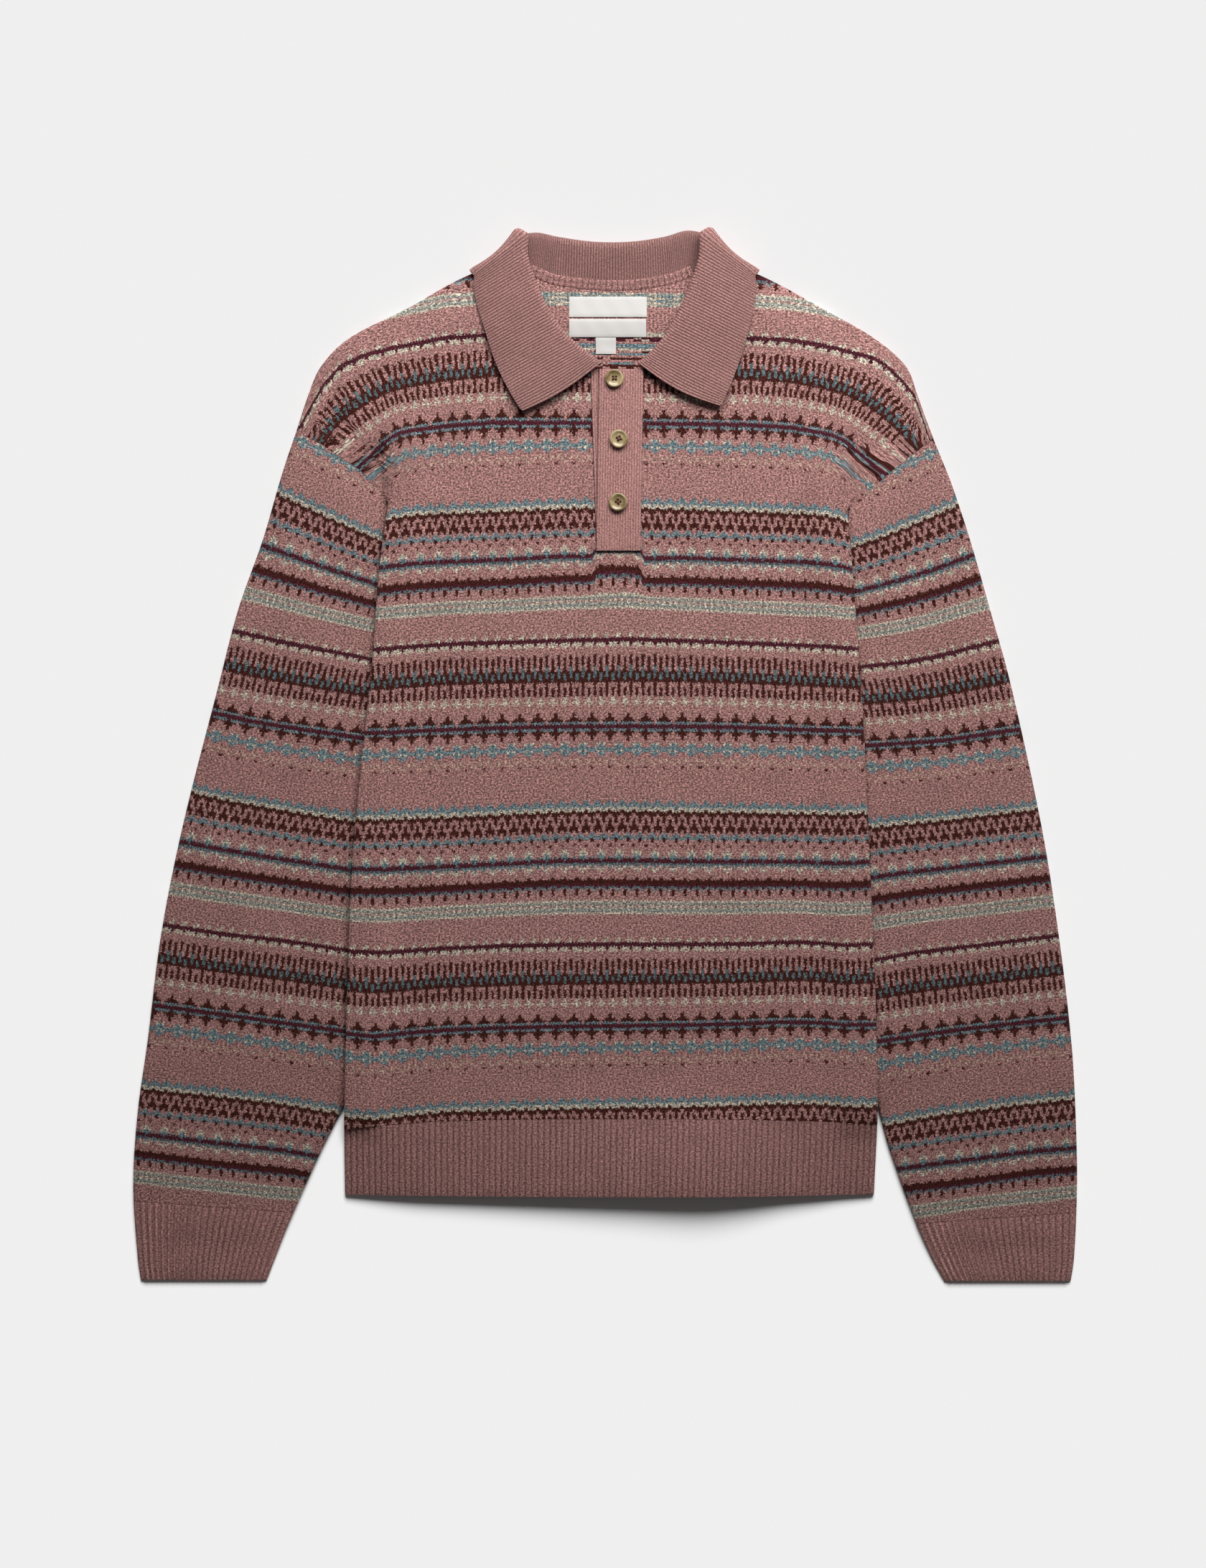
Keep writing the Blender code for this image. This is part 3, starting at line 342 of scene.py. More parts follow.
@dataclass(frozen=True)
class Layers:
    """Heights of the shirt's layers over the surface it lies on."""
    wall: float = 2.5  # two-colour knit with its floats
    seam_gap: float = 0.3
    armhole_gap: float = -0.3  # linked edge to edge, so the cloth closes here
    layer_gap: float = 0.6  # between two layers at a folded or sewn edge
    body_loft: float = 2.8  # what the front stands off the back in the middle
    sleeve_loft: float = 1.8
    loft_reach: float = 70.0
    # (distance from a folded edge or from a rib's foot, drop)
    edge_rounding: Curve = ((0, 1.3), (0.5, 0.75), (1.5, 0.3), (2.7, 0.08), (4, 0))
    foot_rounding: Curve = ((0, 1.5), (0.6, 0.9), (1.6, 0.4), (3.5, 0.1), (6, 0))
    tuck_over: float = 0.9  # the side of the body stands this far off the sleeve
    tuck_flat: float = 17.0  # width of the raised strip, from the side inwards
    tuck_end: float = 42.0  # and where it is down on the surface again
    tuck_outside: float = 3.0  # above the underarm the fold fades out over this width
    neck_lift: float = 2.8  # the back lies over the collar's leaf
    neck_lift_rows: Curve = ((301.1, 0), (328.6, 1))
    neck_lift_columns: Curve = ((-145, 0), (-113, 1), (128, 1), (160, 0))
    back_raised: Curve = ((186, 0), (172, 0.5), (158, 1), (-264, 1), (-290, 0))
    front_raised: Curve = ((252, 0), (240, 0.4), (225, 0.65), (203, 0.78), (186, 0.82),
                           (172, 0.9), (158, 1), (-264, 1), (-290, 0))

    @property
    def stack(self) -> float:
        """Two walls and the gap between them."""
        return 2 * self.wall + self.layer_gap

    def neck_rise(self, x: float, y: float) -> float:
        """Rise of the panels over the collar's leaf."""
        part = straight(self.neck_lift_rows, y, softly=True)
        return self.neck_lift * part * straight(self.neck_lift_columns, x, softly=True)

    def tuck_rise(self, raised: Curve, x: float, y: float) -> float:
        """Rise of a panel over the sleeve; above the underarm it follows the front's fold."""
        part = straight(raised, y)
        if part == 0.0:
            return 0.0
        profile = ((-self.tuck_outside, 0.0), (0.0, 1.0), (self.tuck_flat, 1.0),
                   (self.tuck_end, 0.0))
        lift = 0.0
        for outline in OUTLINES:
            fold_y = min(y, outline.side[0][0])
            inward = outline.sign * (outline.side_x(fold_y) - x)
            lift = max(lift, straight(profile, inward, softly=True))
        return (self.stack + self.tuck_over) * part * lift

    def back_floor(self, x: float, y: float) -> float:
        """Height of the back panel's under side."""
        return self.neck_rise(x, y) + self.tuck_rise(self.back_raised, x, y)

    def nearest_side(self, x: float, y: float) -> float:
        """Distance to the nearer edge of the panels."""
        return min(outline.inside(x, y) for outline in OUTLINES)

    def front_floor(self, x: float, y: float) -> float:
        """Height of the front panel's under side."""
        nearest = self.nearest_side(x, y)
        loft = self.body_loft * sin(0.5 * pi * clamp(nearest / self.loft_reach))
        lift = self.neck_rise(x, y) + self.tuck_rise(self.front_raised, x, y)
        return lift + self.wall + self.layer_gap + loft

    def foot_drop(self, above: float) -> float:
        """Rounding of a ribbed border, so far above its foot."""
        return straight(self.foot_rounding, above)

    def edge_drop(self, x: float, y: float) -> float:
        """Rounding of the body's folded edges; the armhole seam between them stays square."""
        drop = 0.0
        for outline in OUTLINES:
            if outline.side[0][0] < y < outline.armhole[0][0]:
                continue
            drop = max(drop, straight(self.edge_rounding, outline.inside(x, y)))
        return drop


LAYERS = Layers()


# ---- rows and columns of stitches

ROW_PITCH = 1.7396  # height of a stitch
WALE_PITCH = 2.257  # width of a stitch


@dataclass(frozen=True)
class StitchRow:
    """Where one row of stitches runs: its number, counted down, and (x, y) places in plan."""
    number: float
    places: Curve

    def y_at(self, x: float) -> float:
        """Height of the row at x; beyond its places it runs on in the same direction."""
        places = self.places
        i = next((k for k in range(len(places) - 2) if x < places[k + 1][0]), len(places) - 2)
        (x0, y0), (x1, y1) = places[i], places[i + 1]
        return mix(y0, y1, (x - x0) / (x1 - x0))


@dataclass(frozen=True)
class Stitches:
    """The rows of stitches of a piece, from the top one down."""
    rows: tuple[StitchRow, ...]

    def number_at(self, x: float, y: float) -> float:
        """Which row runs through a place, counted down and with its fraction."""
        heights = [row.y_at(x) for row in self.rows]
        if y >= heights[0]:
            return self.rows[0].number - (y - heights[0]) / ROW_PITCH
        for (upper, high), (lower, low) in zip(zip(self.rows, heights),
                                               zip(self.rows[1:], heights[1:])):
            if y >= low:
                return mix(upper.number, lower.number, (high - y) / (high - low))
        return self.rows[-1].number + (heights[-1] - y) / ROW_PITCH

    def y_at(self, number: float, x: float) -> float:
        """Height at x of the row with this number."""
        if number <= self.rows[0].number:
            return self.rows[0].y_at(x) + (self.rows[0].number - number) * ROW_PITCH
        for upper, lower in zip(self.rows, self.rows[1:]):
            if number <= lower.number:
                part = (number - upper.number) / (lower.number - upper.number)
                return mix(upper.y_at(x), lower.y_at(x), part)
        return self.rows[-1].y_at(x) - (number - self.rows[-1].number) * ROW_PITCH


def sagging(number: float, middle_y: float, drops: Curve) -> StitchRow:
    """A row of the body, given by how far it drops below its middle at each x."""
    return StitchRow(number, tuple((x, middle_y - drop) for x, drop in drops))


# The x places at which the rows below the armholes have their drops
BODY_COLUMNS = (-191, -174, -161, -142, -120, -77, -34, 15, 58, 101, 128,
                150, 166, 179, 201)


def body_row(number: float, middle_y: float, *drops: float) -> StitchRow:
    """A row of the body below the armholes, by its drops at BODY_COLUMNS."""
    return sagging(number, middle_y, tuple(zip(BODY_COLUMNS, drops)))


BODY_STITCHES = Stitches((
    sagging(-66.9, 311.9, (
        (-226, 60.5), (-213, 37), (-199, 21), (-180, 12.5), (-160, 7.5), (-141, 4), (-121, 0),
        (-92, -2), (58, 0), (106, 0), (135, 1.5), (155, 4), (174, 8), (194, 13), (204, 16),
        (213, 22), (223, 32), (233, 44), (238, 59))),
    sagging(-52.9, 287.6, (
        (-211, 47), (-201, 32), (-190, 24), (-180, 18), (-170, 13), (-160, 9), (-141, 5),
        (-121, 1.5), (-83, -2), (58, 0), (112, 0.5), (141, 3), (160, 6.5), (180, 11.5),
        (190, 15.5), (199, 20.5), (209, 28), (219, 37), (228, 47))),
    sagging(-30.6, 248.7, (
        (-186, 33.5), (-180, 28), (-170, 18), (-160, 9.5), (-151, 6), (-131, 3), (-112, 1),
        (-83, -1), (58, 0), (112, 1), (141, 3), (160, 6.5), (170, 8.5), (180, 13), (190, 21.5),
        (199, 29.5), (209, 36.5))),
    sagging(-21, 231.9, (
        (-185, 33), (-177, 26), (-168, 17), (-158, 8.5), (-148, 6), (-129, 3), (-110, 1.5),
        (-34, -1.5), (58, 0), (112, 1.5), (141, 3), (160, 5.5), (170, 7.5), (180, 12.5),
        (190, 22.5), (199, 31))),
    body_row(2.9, 190.4, 17, 11, 7.5, 4.5, 3.3, 1.6, -0.5, -0.8, 0, 1.6, 2.7, 3.4, 4.8, 8.2, 20),
    sagging(31.5, 141.2, (
        (-191, 11), (-174, 8), (-161, 6.5), (-142, 4.3), (-120, 3.2), (-77, 1.6), (-34, -1),
        (-7.8, -1), (-6.6, -8), (26.2, -8), (27.4, 1), (58, 0.3), (101, 1.6), (128, 2.7),
        (150, 3.2), (166, 4.9), (179, 7), (201, 12))),
    sagging(36.5, 131.7, (
        (-191, 10), (-174, 8), (-161, 6.5), (-142, 4.5), (-120, 3.2), (-77, 1.6), (-34, -1.2),
        (-7.8, -1.5), (-6.6, -8.5), (26.2, -8.5), (27.4, 0.5), (58, 0.2), (101, 1.8), (128, 2.8),
        (150, 3.6), (166, 4.9), (179, 7), (201, 10))),
    body_row(47, 114.2, 9, 7.5, 6.5, 4.9, 3.2, 1.6, -0.8, -2.2, 0, 2.2, 3.2, 4.3, 4.9, 6.5, 7),
    body_row(78.1, 60.2, 7, 6, 5.4, 3.8, 2.2, 1.1, 0.5, -0.5, 0, 1.1, 2.2, 3.2, 3.8, 4.9, 6),
    body_row(109.1, 6.2, 4.5, 4.3, 4.3, 3.2, 2.7, 1.1, 0, 0, 0, 0.5, 1.6, 2.2, 2.7, 2.7, 2.7),
    body_row(140.1, -47.8, 5.9, 5.9, 5.4, 4.9, 4.3, 2.2, 0, -1, 0, 0.5, 1.1, 1.1, 1.6, 1.6, 0.5),
    body_row(170.9, -101.8, 5.4, 5.9, 5.9, 4.9, 3.8, 1.6, -0.5, -0.5, 0, 0, -0.5, 0, 1.1, 1.1, 0),
    body_row(202.2, -155.8, 4.9, 5.9, 5.9, 4.3, 2.7, 1.1, 0.5, 0, 0, -0.5, -1.6, -2.2, -1.1, 0.5,
             -0.5),
    body_row(235.6, -209.8, 7, 8.6, 7.6, 5.4, 3.8, 2.2, 1.1, 0.5, 0, -1.1, -2.2, -2.2, -1.6, -0.5,
             -0.5),
    body_row(251.6, -236.8, 8.1, 9.7, 8.1, 5.9, 3.8, 2.7, 1.6, 0.5, 0, -1.1, -2.2, -2.2, -1.6,
             -0.5, 0),
    body_row(264.9, -258.4, 8.1, 9.7, 8.1, 5.9, 3.8, 2.7, 1.6, 0.5, 0, -1.1, -2.2, -2.2, -1.6,
             -0.5, 0),
))

# The two rows that step up under the placket do so on the front alone.
STEPPED_ROWS = (31.5, 36.5)
BACK_STITCHES = Stitches(tuple(row for row in BODY_STITCHES.rows
                               if row.number not in STEPPED_ROWS))

SLEEVE_STITCHES = {
    "right": Stitches((
        StitchRow(2.9, ((-237.1, 198.5), (-211.1, 186), (-185.2, 173.6), (-169, 167))),
        StitchRow(36.5, ((-263, 140.1), (-237.1, 132.6), (-211.1, 124.5), (-185.2, 117.5))),
        StitchRow(64.1, ((-275.9, 91), (-237.1, 82.4), (-185.2, 72.6))),
        StitchRow(100.4, ((-294.3, 31.6), (-268.4, 25.7), (-242.5, 21.3), (-190.6, 13.8))),
        StitchRow(133.9, ((-312.7, -21.9), (-286.7, -27.8), (-234.9, -37), (-196, -42.9))),
        StitchRow(168.4, ((-315.4, -84), (-263.5, -92.6), (-198.7, -102.3))),
        StitchRow(194.5, ((-329.9, -128.3), (-291.1, -134.2), (-239.2, -140.1),
                          (-200.3, -146.1))),
        StitchRow(231.7, ((-333.7, -189.3), (-281.9, -196.3), (-204.1, -207.1))),
        StitchRow(261.8, ((-352.1, -240), (-300.2, -244.9), (-248.4, -250.8), (-209.5, -257.3))),
        StitchRow(298.5, ((-344.5, -300), (-292.7, -306.5), (-240.8, -311.9), (-214.9, -316.7))),
        StitchRow(308.1, ((-352.6, -314.6), (-300.8, -320.5), (-248.9, -326.4), (-223, -328.1))),
    )),
    "left": Stitches((
        StitchRow(2.9, ((195.5, 165), (208.4, 169.3), (234.4, 180.6))),
        StitchRow(36.5, ((195.5, 109.9), (221.4, 115.3), (247.3, 122.3), (273.2, 131))),
        StitchRow(64.1, ((197.1, 65.6), (223, 67.8), (248.9, 72.6), (287.8, 82.4))),
        StitchRow(100.4, ((200.9, 7.3), (252.7, 10.5), (278.6, 14.3), (304.6, 18.1))),
        StitchRow(133.9, ((203.6, -48.3), (255.4, -43.5), (320.2, -35.9))),
        StitchRow(168.4, ((204.7, -108.8), (230.6, -105), (282.4, -99.1), (334.3, -93.2))),
        StitchRow(194.5, ((206.8, -153.6), (232.7, -148.8), (284.6, -142.8), (336.4, -136.4))),
        StitchRow(231.7, ((209, -215.2), (260.8, -207.6), (312.7, -201.7), (338.6, -199))),
        StitchRow(261.8, ((212.2, -267.6), (251.1, -259.5), (302.9, -253), (341.8, -248.7))),
        StitchRow(298.5, ((219.8, -325.9), (271.6, -320), (323.5, -312.9), (349.4, -311.3))),
        StitchRow(308.1, ((226.3, -342.1), (278.1, -334), (329.9, -328.6), (342.9, -327))),
    )),
}


# ---- materials

def linear(hex_colour: str) -> tuple[float, float, float, float]:
    """The shader's linear colour for an sRGB hex value such as '9c7772'."""
    channels = [int(hex_colour[i:i + 2], 16) / 255 for i in (0, 2, 4)]
    return (*[c / 12.92 if c <= 0.04045 else ((c + 0.055) / 1.055) ** 2.4 for c in channels], 1.0)


class Sheet:
    """The node tree of a material or world, filled in by one call for each node."""

    def __init__(self, owner: Material | bpy.types.World) -> None:
        """Starts from an empty tree."""
        owner.use_nodes = True
        self.tree = owner.node_tree
        self.tree.nodes.clear()

    def add(self, kind: str, *inputs: Setting, output: int | str = 0, named: dict | None = None,
            **settings: object) -> Socket:
        """Adds a node with its settings and links.

        Args:
            kind: its type, without "ShaderNode" in front; an operation may follow a dot.
            inputs: a socket to link, a value to set or None, for each input in turn.
            output: the output that is given back.
            named: the same for inputs named by their label.
            settings: properties of the node itself.

        Returns:
            One of the node's outputs, or the node itself where it has none.
        """
        kind, _, operation = kind.partition(".")
        node = self.tree.nodes.new("ShaderNode" + kind)
        if operation:
            node.operation = operation
        for name, value in settings.items():
            setattr(node, name, value)
        for key, value in (*enumerate(inputs), *(named or {}).items()):
            if isinstance(value, Socket):
                self.tree.links.new(value, node.inputs[key])
            elif value is not None:
                node.inputs[key].default_value = value
        return node.outputs[output] if node.outputs else node


class Yarn(Enum):
    """The yarns, each (letter in the chart, sRGB colour), in the palette's order."""
    MAUVE = (".", "a77b76")
    TEAL = ("T", "6d8085")
    CREAM = ("C", "bdb09f")
    BROWN = ("D", "431b15")
    BURGUNDY = ("B", "4d1d29")
    SAGE = ("G", "8b8e87")
    BEIGE = ("E", "b59b89")
    PETROL = ("P", "5c6c70")  # the teal, half hidden by brown fibres


YARNS = list(Yarn)
YARN_COUNT = len(YARNS)
YARN_OF_LETTER = {yarn.value[0]: index for index, yarn in enumerate(YARNS)}


@dataclass(frozen=True)
class Chart:
    """The knitter's chart of the banded pattern, one repeat of its rows from the top down.

    A line is a row of stitches and repeats along it; a letter is a yarn, and a dot the ground.
    """
    lines: tuple[str, ...]
    width: int = 12

    @property
    def masks(self) -> int:
        """How many masks of stitches there can be."""
        return 2 ** self.width

    def packed(self, line: str) -> Triple:
        """A line as three numbers from 0 to 1: two masks of its stitches, and its yarns.

        The ground is the line's first yarn. A mask has a bit for each stitch of a further yarn.
        """
        full = (line * self.width)[:self.width]
        yarns = sorted(set(full), key=lambda letter: (letter != ".", -full.count(letter), letter))
        letters = (yarns + [yarns[0]] * 2)[:3]
        masks = [sum(1 << i for i, letter in enumerate(full)
                     if letter == wanted and k < len(yarns))
                 for k, wanted in enumerate(letters[1:], start=1)]
        number = 0
        for letter in letters:
            number = number * YARN_COUNT + YARN_OF_LETTER[letter]
        return masks[0] / self.masks, masks[1] / self.masks, number / YARN_COUNT ** 3


CHART = Chart(tuple("""
. T... TT.T T CCTC DCCC DDDD .DDD ..D. D. D. D... DD.D DD.D .D ..T. .TTT TTDT ..D. . D... .
...C.. ..CCC. ..CTC. T.TTT. BBBPBB B P TC.T.C ..CCC. ...C.. . . .D.. D D B PPPB .D.T .D.. .D..
. . C G C. CG G C . . . . . . . . . . ...C ..CC B B CCCB CCC. . . . ...D .D .D .D .D .D.P .D.P
DDDP DP DP DPDD D ...D ...D .D .D .D .D .C.. .C.. CCC. .C.. . . . D..... D..... DD...D DDD.DD
TTT.TT B B DTTTTT DDD.DD DD...D D..... D..... . ..CTC. ..TTT. T TTCTCT ..TTT. ...T.. .
.E...E ..E..E ...E.. D..... . . . . . . . . . . . . .
""".split()))


# What shows of the wrong side inside the neck, where floats lie over the rows: (first row, lines)
WRONG_SIDE_ROWS = ((34, ". . . . . . . . . ."), (44, "GGC GGTG CCGC GTGG CCGC GGC"),
                   (60, ". C CCCCC. BBCB BCBBB. . T GTTT CCC.CC .D.... TTT.TT . DD.DDD "
                        ". TT.T D.DDDD .D DDD. .D..T D."))


def turned(chart: Chart) -> Chart:
    """The chart of the wrong side: rows seen inside the neck, and the face's floats elsewhere."""
    lines = list(chart.lines)
    for first, text in WRONG_SIDE_ROWS:
        rows = text.split()
        lines[first:first + len(rows)] = rows
    return Chart(tuple(lines))


@dataclass(frozen=True)
class KnitFinish:
    """Brushed lambswool, machine knitted in two colours a row.

    The eye sees V stitches that blur into bands, a heathered yarn and a soft halo of fibres.
    """
    chart: Chart = CHART
    half: int = 66  # a curves node holds this many of the chart's rows
    plateau: Pair = (0.03, 0.97)  # part of a row's span that is level there
    vee: float = 0.9  # a stitch's legs rise by this part of a row
    fuzz: float = 1.6  # fibres carry a yarn's colour past its stitch, in stitches
    fuzz_scale: float = 1.2  # tufts of fibres to a stitch
    float_length: float = 2.6  # stitches that a float passes behind
    fleck_scale: float = 1.4  # flecks of the heathered yarn to a stitch
    heather: float = 4.3  # how far the flecks' tones lie apart
    darkest: float = 0.3  # tone of the darkest fibres
    patch_scale: float = 0.11  # about nine stitches to a patch of uneven yarn
    patch_tone: float = 0.24
    gap_painted_shade: float = 0.5  # painted shade: the gaps between strands are this much darker
    groove_painted_shade: float = 0.0  # painted shade in the grooves between ribs
    groove_step: float = 2.0  # stitches from groove to groove
    groove_power: float = 8.0  # the higher, the narrower the groove
    groove_gain: float = 0.27  # what the rib tops gain in tone, beside the painted groove shade
    row_relief: float = 0.45  # how much lower a strand is between two rows
    fleck_relief: float = 0.6
    bump: float = 0.55 * MM

    def table(self, sheet: Sheet, row: Socket, first: int) -> Socket:
        """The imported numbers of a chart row, from rows of the chart held in a curves node.

        Args:
            sheet: the material's nodes.
            row: number of the row in the chart.
            first: number of the first row that this node holds.

        Returns:
            The three packed numbers, as a colour.
        """
        place = sheet.add("Math.MULTIPLY_ADD", row, 1 / self.half, (0.5 - first) / self.half)
        curves = sheet.tree.nodes.new("ShaderNodeRGBCurve")
        curves.mapping.extend = "HORIZONTAL"
        packed = [self.chart.packed(line) for line in self.chart.lines[first:first + self.half]]
        for curve, values in zip(curves.mapping.curves, zip(*packed)):
            for index, value in enumerate(values):
                for edge in self.plateau:
                    point = curve.points.new((index + edge) / self.half, value)
                    point.handle_type = "VECTOR"
            for end, value in ((curve.points[0], values[0]), (curve.points[-1], values[-1])):
                end.handle_type = "VECTOR"
                end.location.y = value
        curves.mapping.update()
        colour = sheet.add("CombineXYZ", place, place, place)
        sheet.tree.links.new(colour, curves.inputs["Color"])
        return curves.outputs["Color"]

    def yarn(self, sheet: Sheet, u: Socket, v: Socket) -> Socket:
        """Which yarn of the palette a stitch has, worked out from the chart.

        Args:
            sheet: the material's nodes.
            u: stitches along a row.
            v: rows, counted down.

        Returns:
            The yarn's number.
        """
        row, column = [
            sheet.add("Math.FLOOR", sheet.add("Math.FLOORED_MODULO", place, float(size)))
            for place, size in ((v, len(self.chart.lines)), (u, self.chart.width))]
        lower = sheet.add("Math.GREATER_THAN", row, self.half - 0.5)
        both = sheet.add("Mix", lower, data_type="RGBA", output=2, named={
            6: self.table(sheet, row, 0), 7: self.table(sheet, row, self.half)})
        parts = sheet.add("SeparateColor", both).node.outputs
        power = sheet.add("Math.POWER", 2.0, column)
        bits = []
        for part in parts[:2]:
            mask = sheet.add("Math.MULTIPLY_ADD", part, float(self.chart.masks), 0.5)
            whole = sheet.add("Math.DIVIDE", sheet.add("Math.FLOOR", mask), power)
            bits.append(sheet.add("Math.FLOORED_MODULO", sheet.add("Math.FLOOR", whole), 2.0))
        packed = sheet.add("Math.MULTIPLY_ADD", parts[2], float(YARN_COUNT ** 3), 0.5)
        packed = sheet.add("Math.FLOOR", packed)
        yarns = []
        for place in (2, 1, 0):
            shifted = sheet.add("Math.DIVIDE", packed, float(YARN_COUNT ** place))
            yarns.append(sheet.add("Math.FLOORED_MODULO", sheet.add("Math.FLOOR", shifted),
                                   float(YARN_COUNT)))
        ground, *others = yarns
        total = ground
        for bit, other in zip(bits, others):
            change = sheet.add("Math.SUBTRACT", other, ground)
            total = sheet.add("Math.MULTIPLY_ADD", bit, change, total)
        return total

    def colour(self, sheet: Sheet, u: Socket, v: Socket) -> Socket:
        """The colour of the yarn that the chart gives the stitch u along its row, v rows down."""
        place = sheet.add("Math.MULTIPLY_ADD", self.yarn(sheet, u, v), 1 / YARN_COUNT,
                          0.5 / YARN_COUNT)
        ramp = sheet.add("ValToRGB", place).node
        ramp.color_ramp.interpolation = "CONSTANT"
        stops = ramp.color_ramp.elements
        stops[-1].position = 1 / YARN_COUNT
        for index, yarn in enumerate(YARNS):
            stop = stops[index] if index < 2 else stops.new(index / YARN_COUNT)
            stop.color = linear(yarn.value[1])
        return ramp.outputs["Color"]

    def strands(self, sheet: Sheet, u: Socket, v: Socket) -> Socket:
        """Height of the two strands of each stitch, round across and along it, from 0 to 1."""
        rounds = []
        for place in (sheet.add("Math.MULTIPLY", u, 2.0), v):
            part = sheet.add("Math.FRACT", place)
            turn = sheet.add("Math.MULTIPLY", part, pi)
            rounds.append(sheet.add("Math.SINE", turn))
        along = sheet.add("Math.MULTIPLY_ADD", rounds[1], self.row_relief, 1.0 - self.row_relief)
        return sheet.add("Math.MULTIPLY", rounds[0], along)

    def tones(self, sheet: Sheet, stitches: Socket, fleck: Socket,
              strands: Socket, tone: float) -> Socket:
        """How light the cloth is from place to place: its flecks and patches, and painted shade
        between strands and in the grooves between ribs.

        Args:
            sheet: the material's nodes.
            stitches: places on the cloth, in stitches and rows.
            fleck: the yarn's flecks, from 0 to 1.
            strands: height of the strands.
            tone: how light the whole cloth is; where copies of one finish differ in it, the
                difference is painted light and shade.

        Returns:
            A number that the yarn's colour is multiplied by.
        """
        value = sheet.add("Math.MULTIPLY_ADD", fleck, 2 * self.heather, 1.0 - self.heather)
        value = sheet.add("Math.MAXIMUM", value, self.darkest)
        patches = sheet.add("TexNoise", stitches, None, self.patch_scale, 2.0, output="Fac",
                            noise_dimensions="2D")
        factors = [sheet.add("Math.MULTIPLY_ADD", patches, self.patch_tone * tone,
                             (1.0 - 0.5 * self.patch_tone) * tone),
                   # Painted shade: the colour is darker in the gaps between the strands.
                   sheet.add("Math.MULTIPLY_ADD", strands, self.gap_painted_shade,
                             1.0 - 0.5 * self.gap_painted_shade)]
        # Painted shade: the grooves between ribs are darker, and the rib tops a little lighter.
        if self.groove_painted_shade:
            across = sheet.add("SeparateXYZ", stitches)
            turn = sheet.add("Math.MULTIPLY", across, pi / self.groove_step)
            depth = sheet.add("Math.COSINE", turn)
            depth = sheet.add("Math.POWER", depth, self.groove_power)
            factors.append(sheet.add("Math.MULTIPLY_ADD", depth, -self.groove_painted_shade,
                                     1.0 + self.groove_gain * self.groove_painted_shade))
        for factor in factors:
            value = sheet.add("Math.MULTIPLY", value, factor)
        return value

    def build(self, name: str, patterned: bool = True, reverse: bool = False,
              tone: float = 1.0) -> Material:
        """Makes the material.

        Args:
            name: what the material is called.
            patterned: whether the chart is knitted in, or the ground yarn alone.
            reverse: whether this is the wrong side, where the face's stitches are floats.
            tone: how light the cloth is beside the ground yarn elsewhere; where copies of one
                finish differ in it, the difference is painted light and shade.

        Returns:
            The new material.
        """
        material = bpy.data.materials.new(name)
        sheet = Sheet(material)
        stitches = sheet.add("UVMap", uv_map="stitches")
        plain_u, plain_v = sheet.add("SeparateXYZ", stitches).node.outputs[:2]
        fibres = sheet.add("TexNoise", stitches, None, self.fuzz_scale, 2.0, 0.6, output="Color",
                           noise_dimensions="2D")
        shifts = [sheet.add("Math.MULTIPLY_ADD", part, self.fuzz, -self.fuzz / 2)
                  for part in sheet.add("SeparateColor", fibres).node.outputs[:2]]
        u = sheet.add("Math.ADD", plain_u, shifts[0])
        if reverse:
            u = sheet.add("Math.DIVIDE", u, self.float_length)
        leg = sheet.add("Math.SUBTRACT", sheet.add("Math.FRACT", u), 0.5)
        leg = sheet.add("Math.MULTIPLY", sheet.add("Math.ABSOLUTE", leg), 2.0)
        rise = sheet.add("Math.MULTIPLY_ADD", leg, self.vee, -self.vee)
        v = sheet.add("Math.ADD", sheet.add("Math.ADD", plain_v, rise), shifts[1])
        base = self.colour(sheet, u, v) if patterned else linear(Yarn.MAUVE.value[1])[:3]
        fleck = sheet.add("TexNoise", stitches, None, self.fleck_scale, 4.0, 0.85, output="Fac",
                          noise_dimensions="2D")
        strands = self.strands(sheet, u, v)
        value = self.tones(sheet, stitches, fleck, strands, tone)
        colour = sheet.add("VectorMath.SCALE", base, named={"Scale": value})
        height = sheet.add("Math.MULTIPLY_ADD", fleck, self.fleck_relief, strands)
        normal = sheet.add("Bump", named={"Height": height, "Distance": self.bump,
                                          "Strength": 0.7})
        shader = sheet.add("BsdfPrincipled", named={
            "Base Color": colour, "Roughness": 0.95, "Normal": normal,
            "Sheen Weight": 0.1, "Sheen Roughness": 0.5,
            "Sheen Tint": linear("d8c6bf"), "Specular IOR Level": 0.15})
        sheet.add("OutputMaterial", shader)
        return material


@dataclass(frozen=True)
class HornFinish:
    """Polished horn: brown with cream streaks through the disc, and a soft gloss."""
    dark: str = "74603e"
    light: str = "b5a27a"
    streak_scale: float = 130.0  # streaks to a metre: about 8 mm each
    streak_span: Pair = (0.36, 0.62)  # noise from all dark to all light

    def build(self) -> Material:
        """Makes the material; the streaks lie at another angle in each button."""
        material = bpy.data.materials.new("polished horn")
        sheet = Sheet(material)
        place = sheet.add("NewGeometry", output="Position")
        streaks = sheet.add("TexNoise", place, None, self.streak_scale, 3.0, 0.55, None, 1.2,
                            output="Fac")
        ramp = sheet.add("ValToRGB", streaks).node
        for stop, position, colour in zip(ramp.color_ramp.elements, self.streak_span,
                                          (self.dark, self.light)):
            stop.position, stop.color = position, linear(colour)
        shader = sheet.add("BsdfPrincipled", named={
            "Base Color": ramp.outputs["Color"], "Roughness": 0.28, "Coat Weight": 0.4,
            "Coat Roughness": 0.12})
        sheet.add("OutputMaterial", shader)
        return material


WAVE_TURN = tau / 20  # the wave texture's scale for one wave to a unit


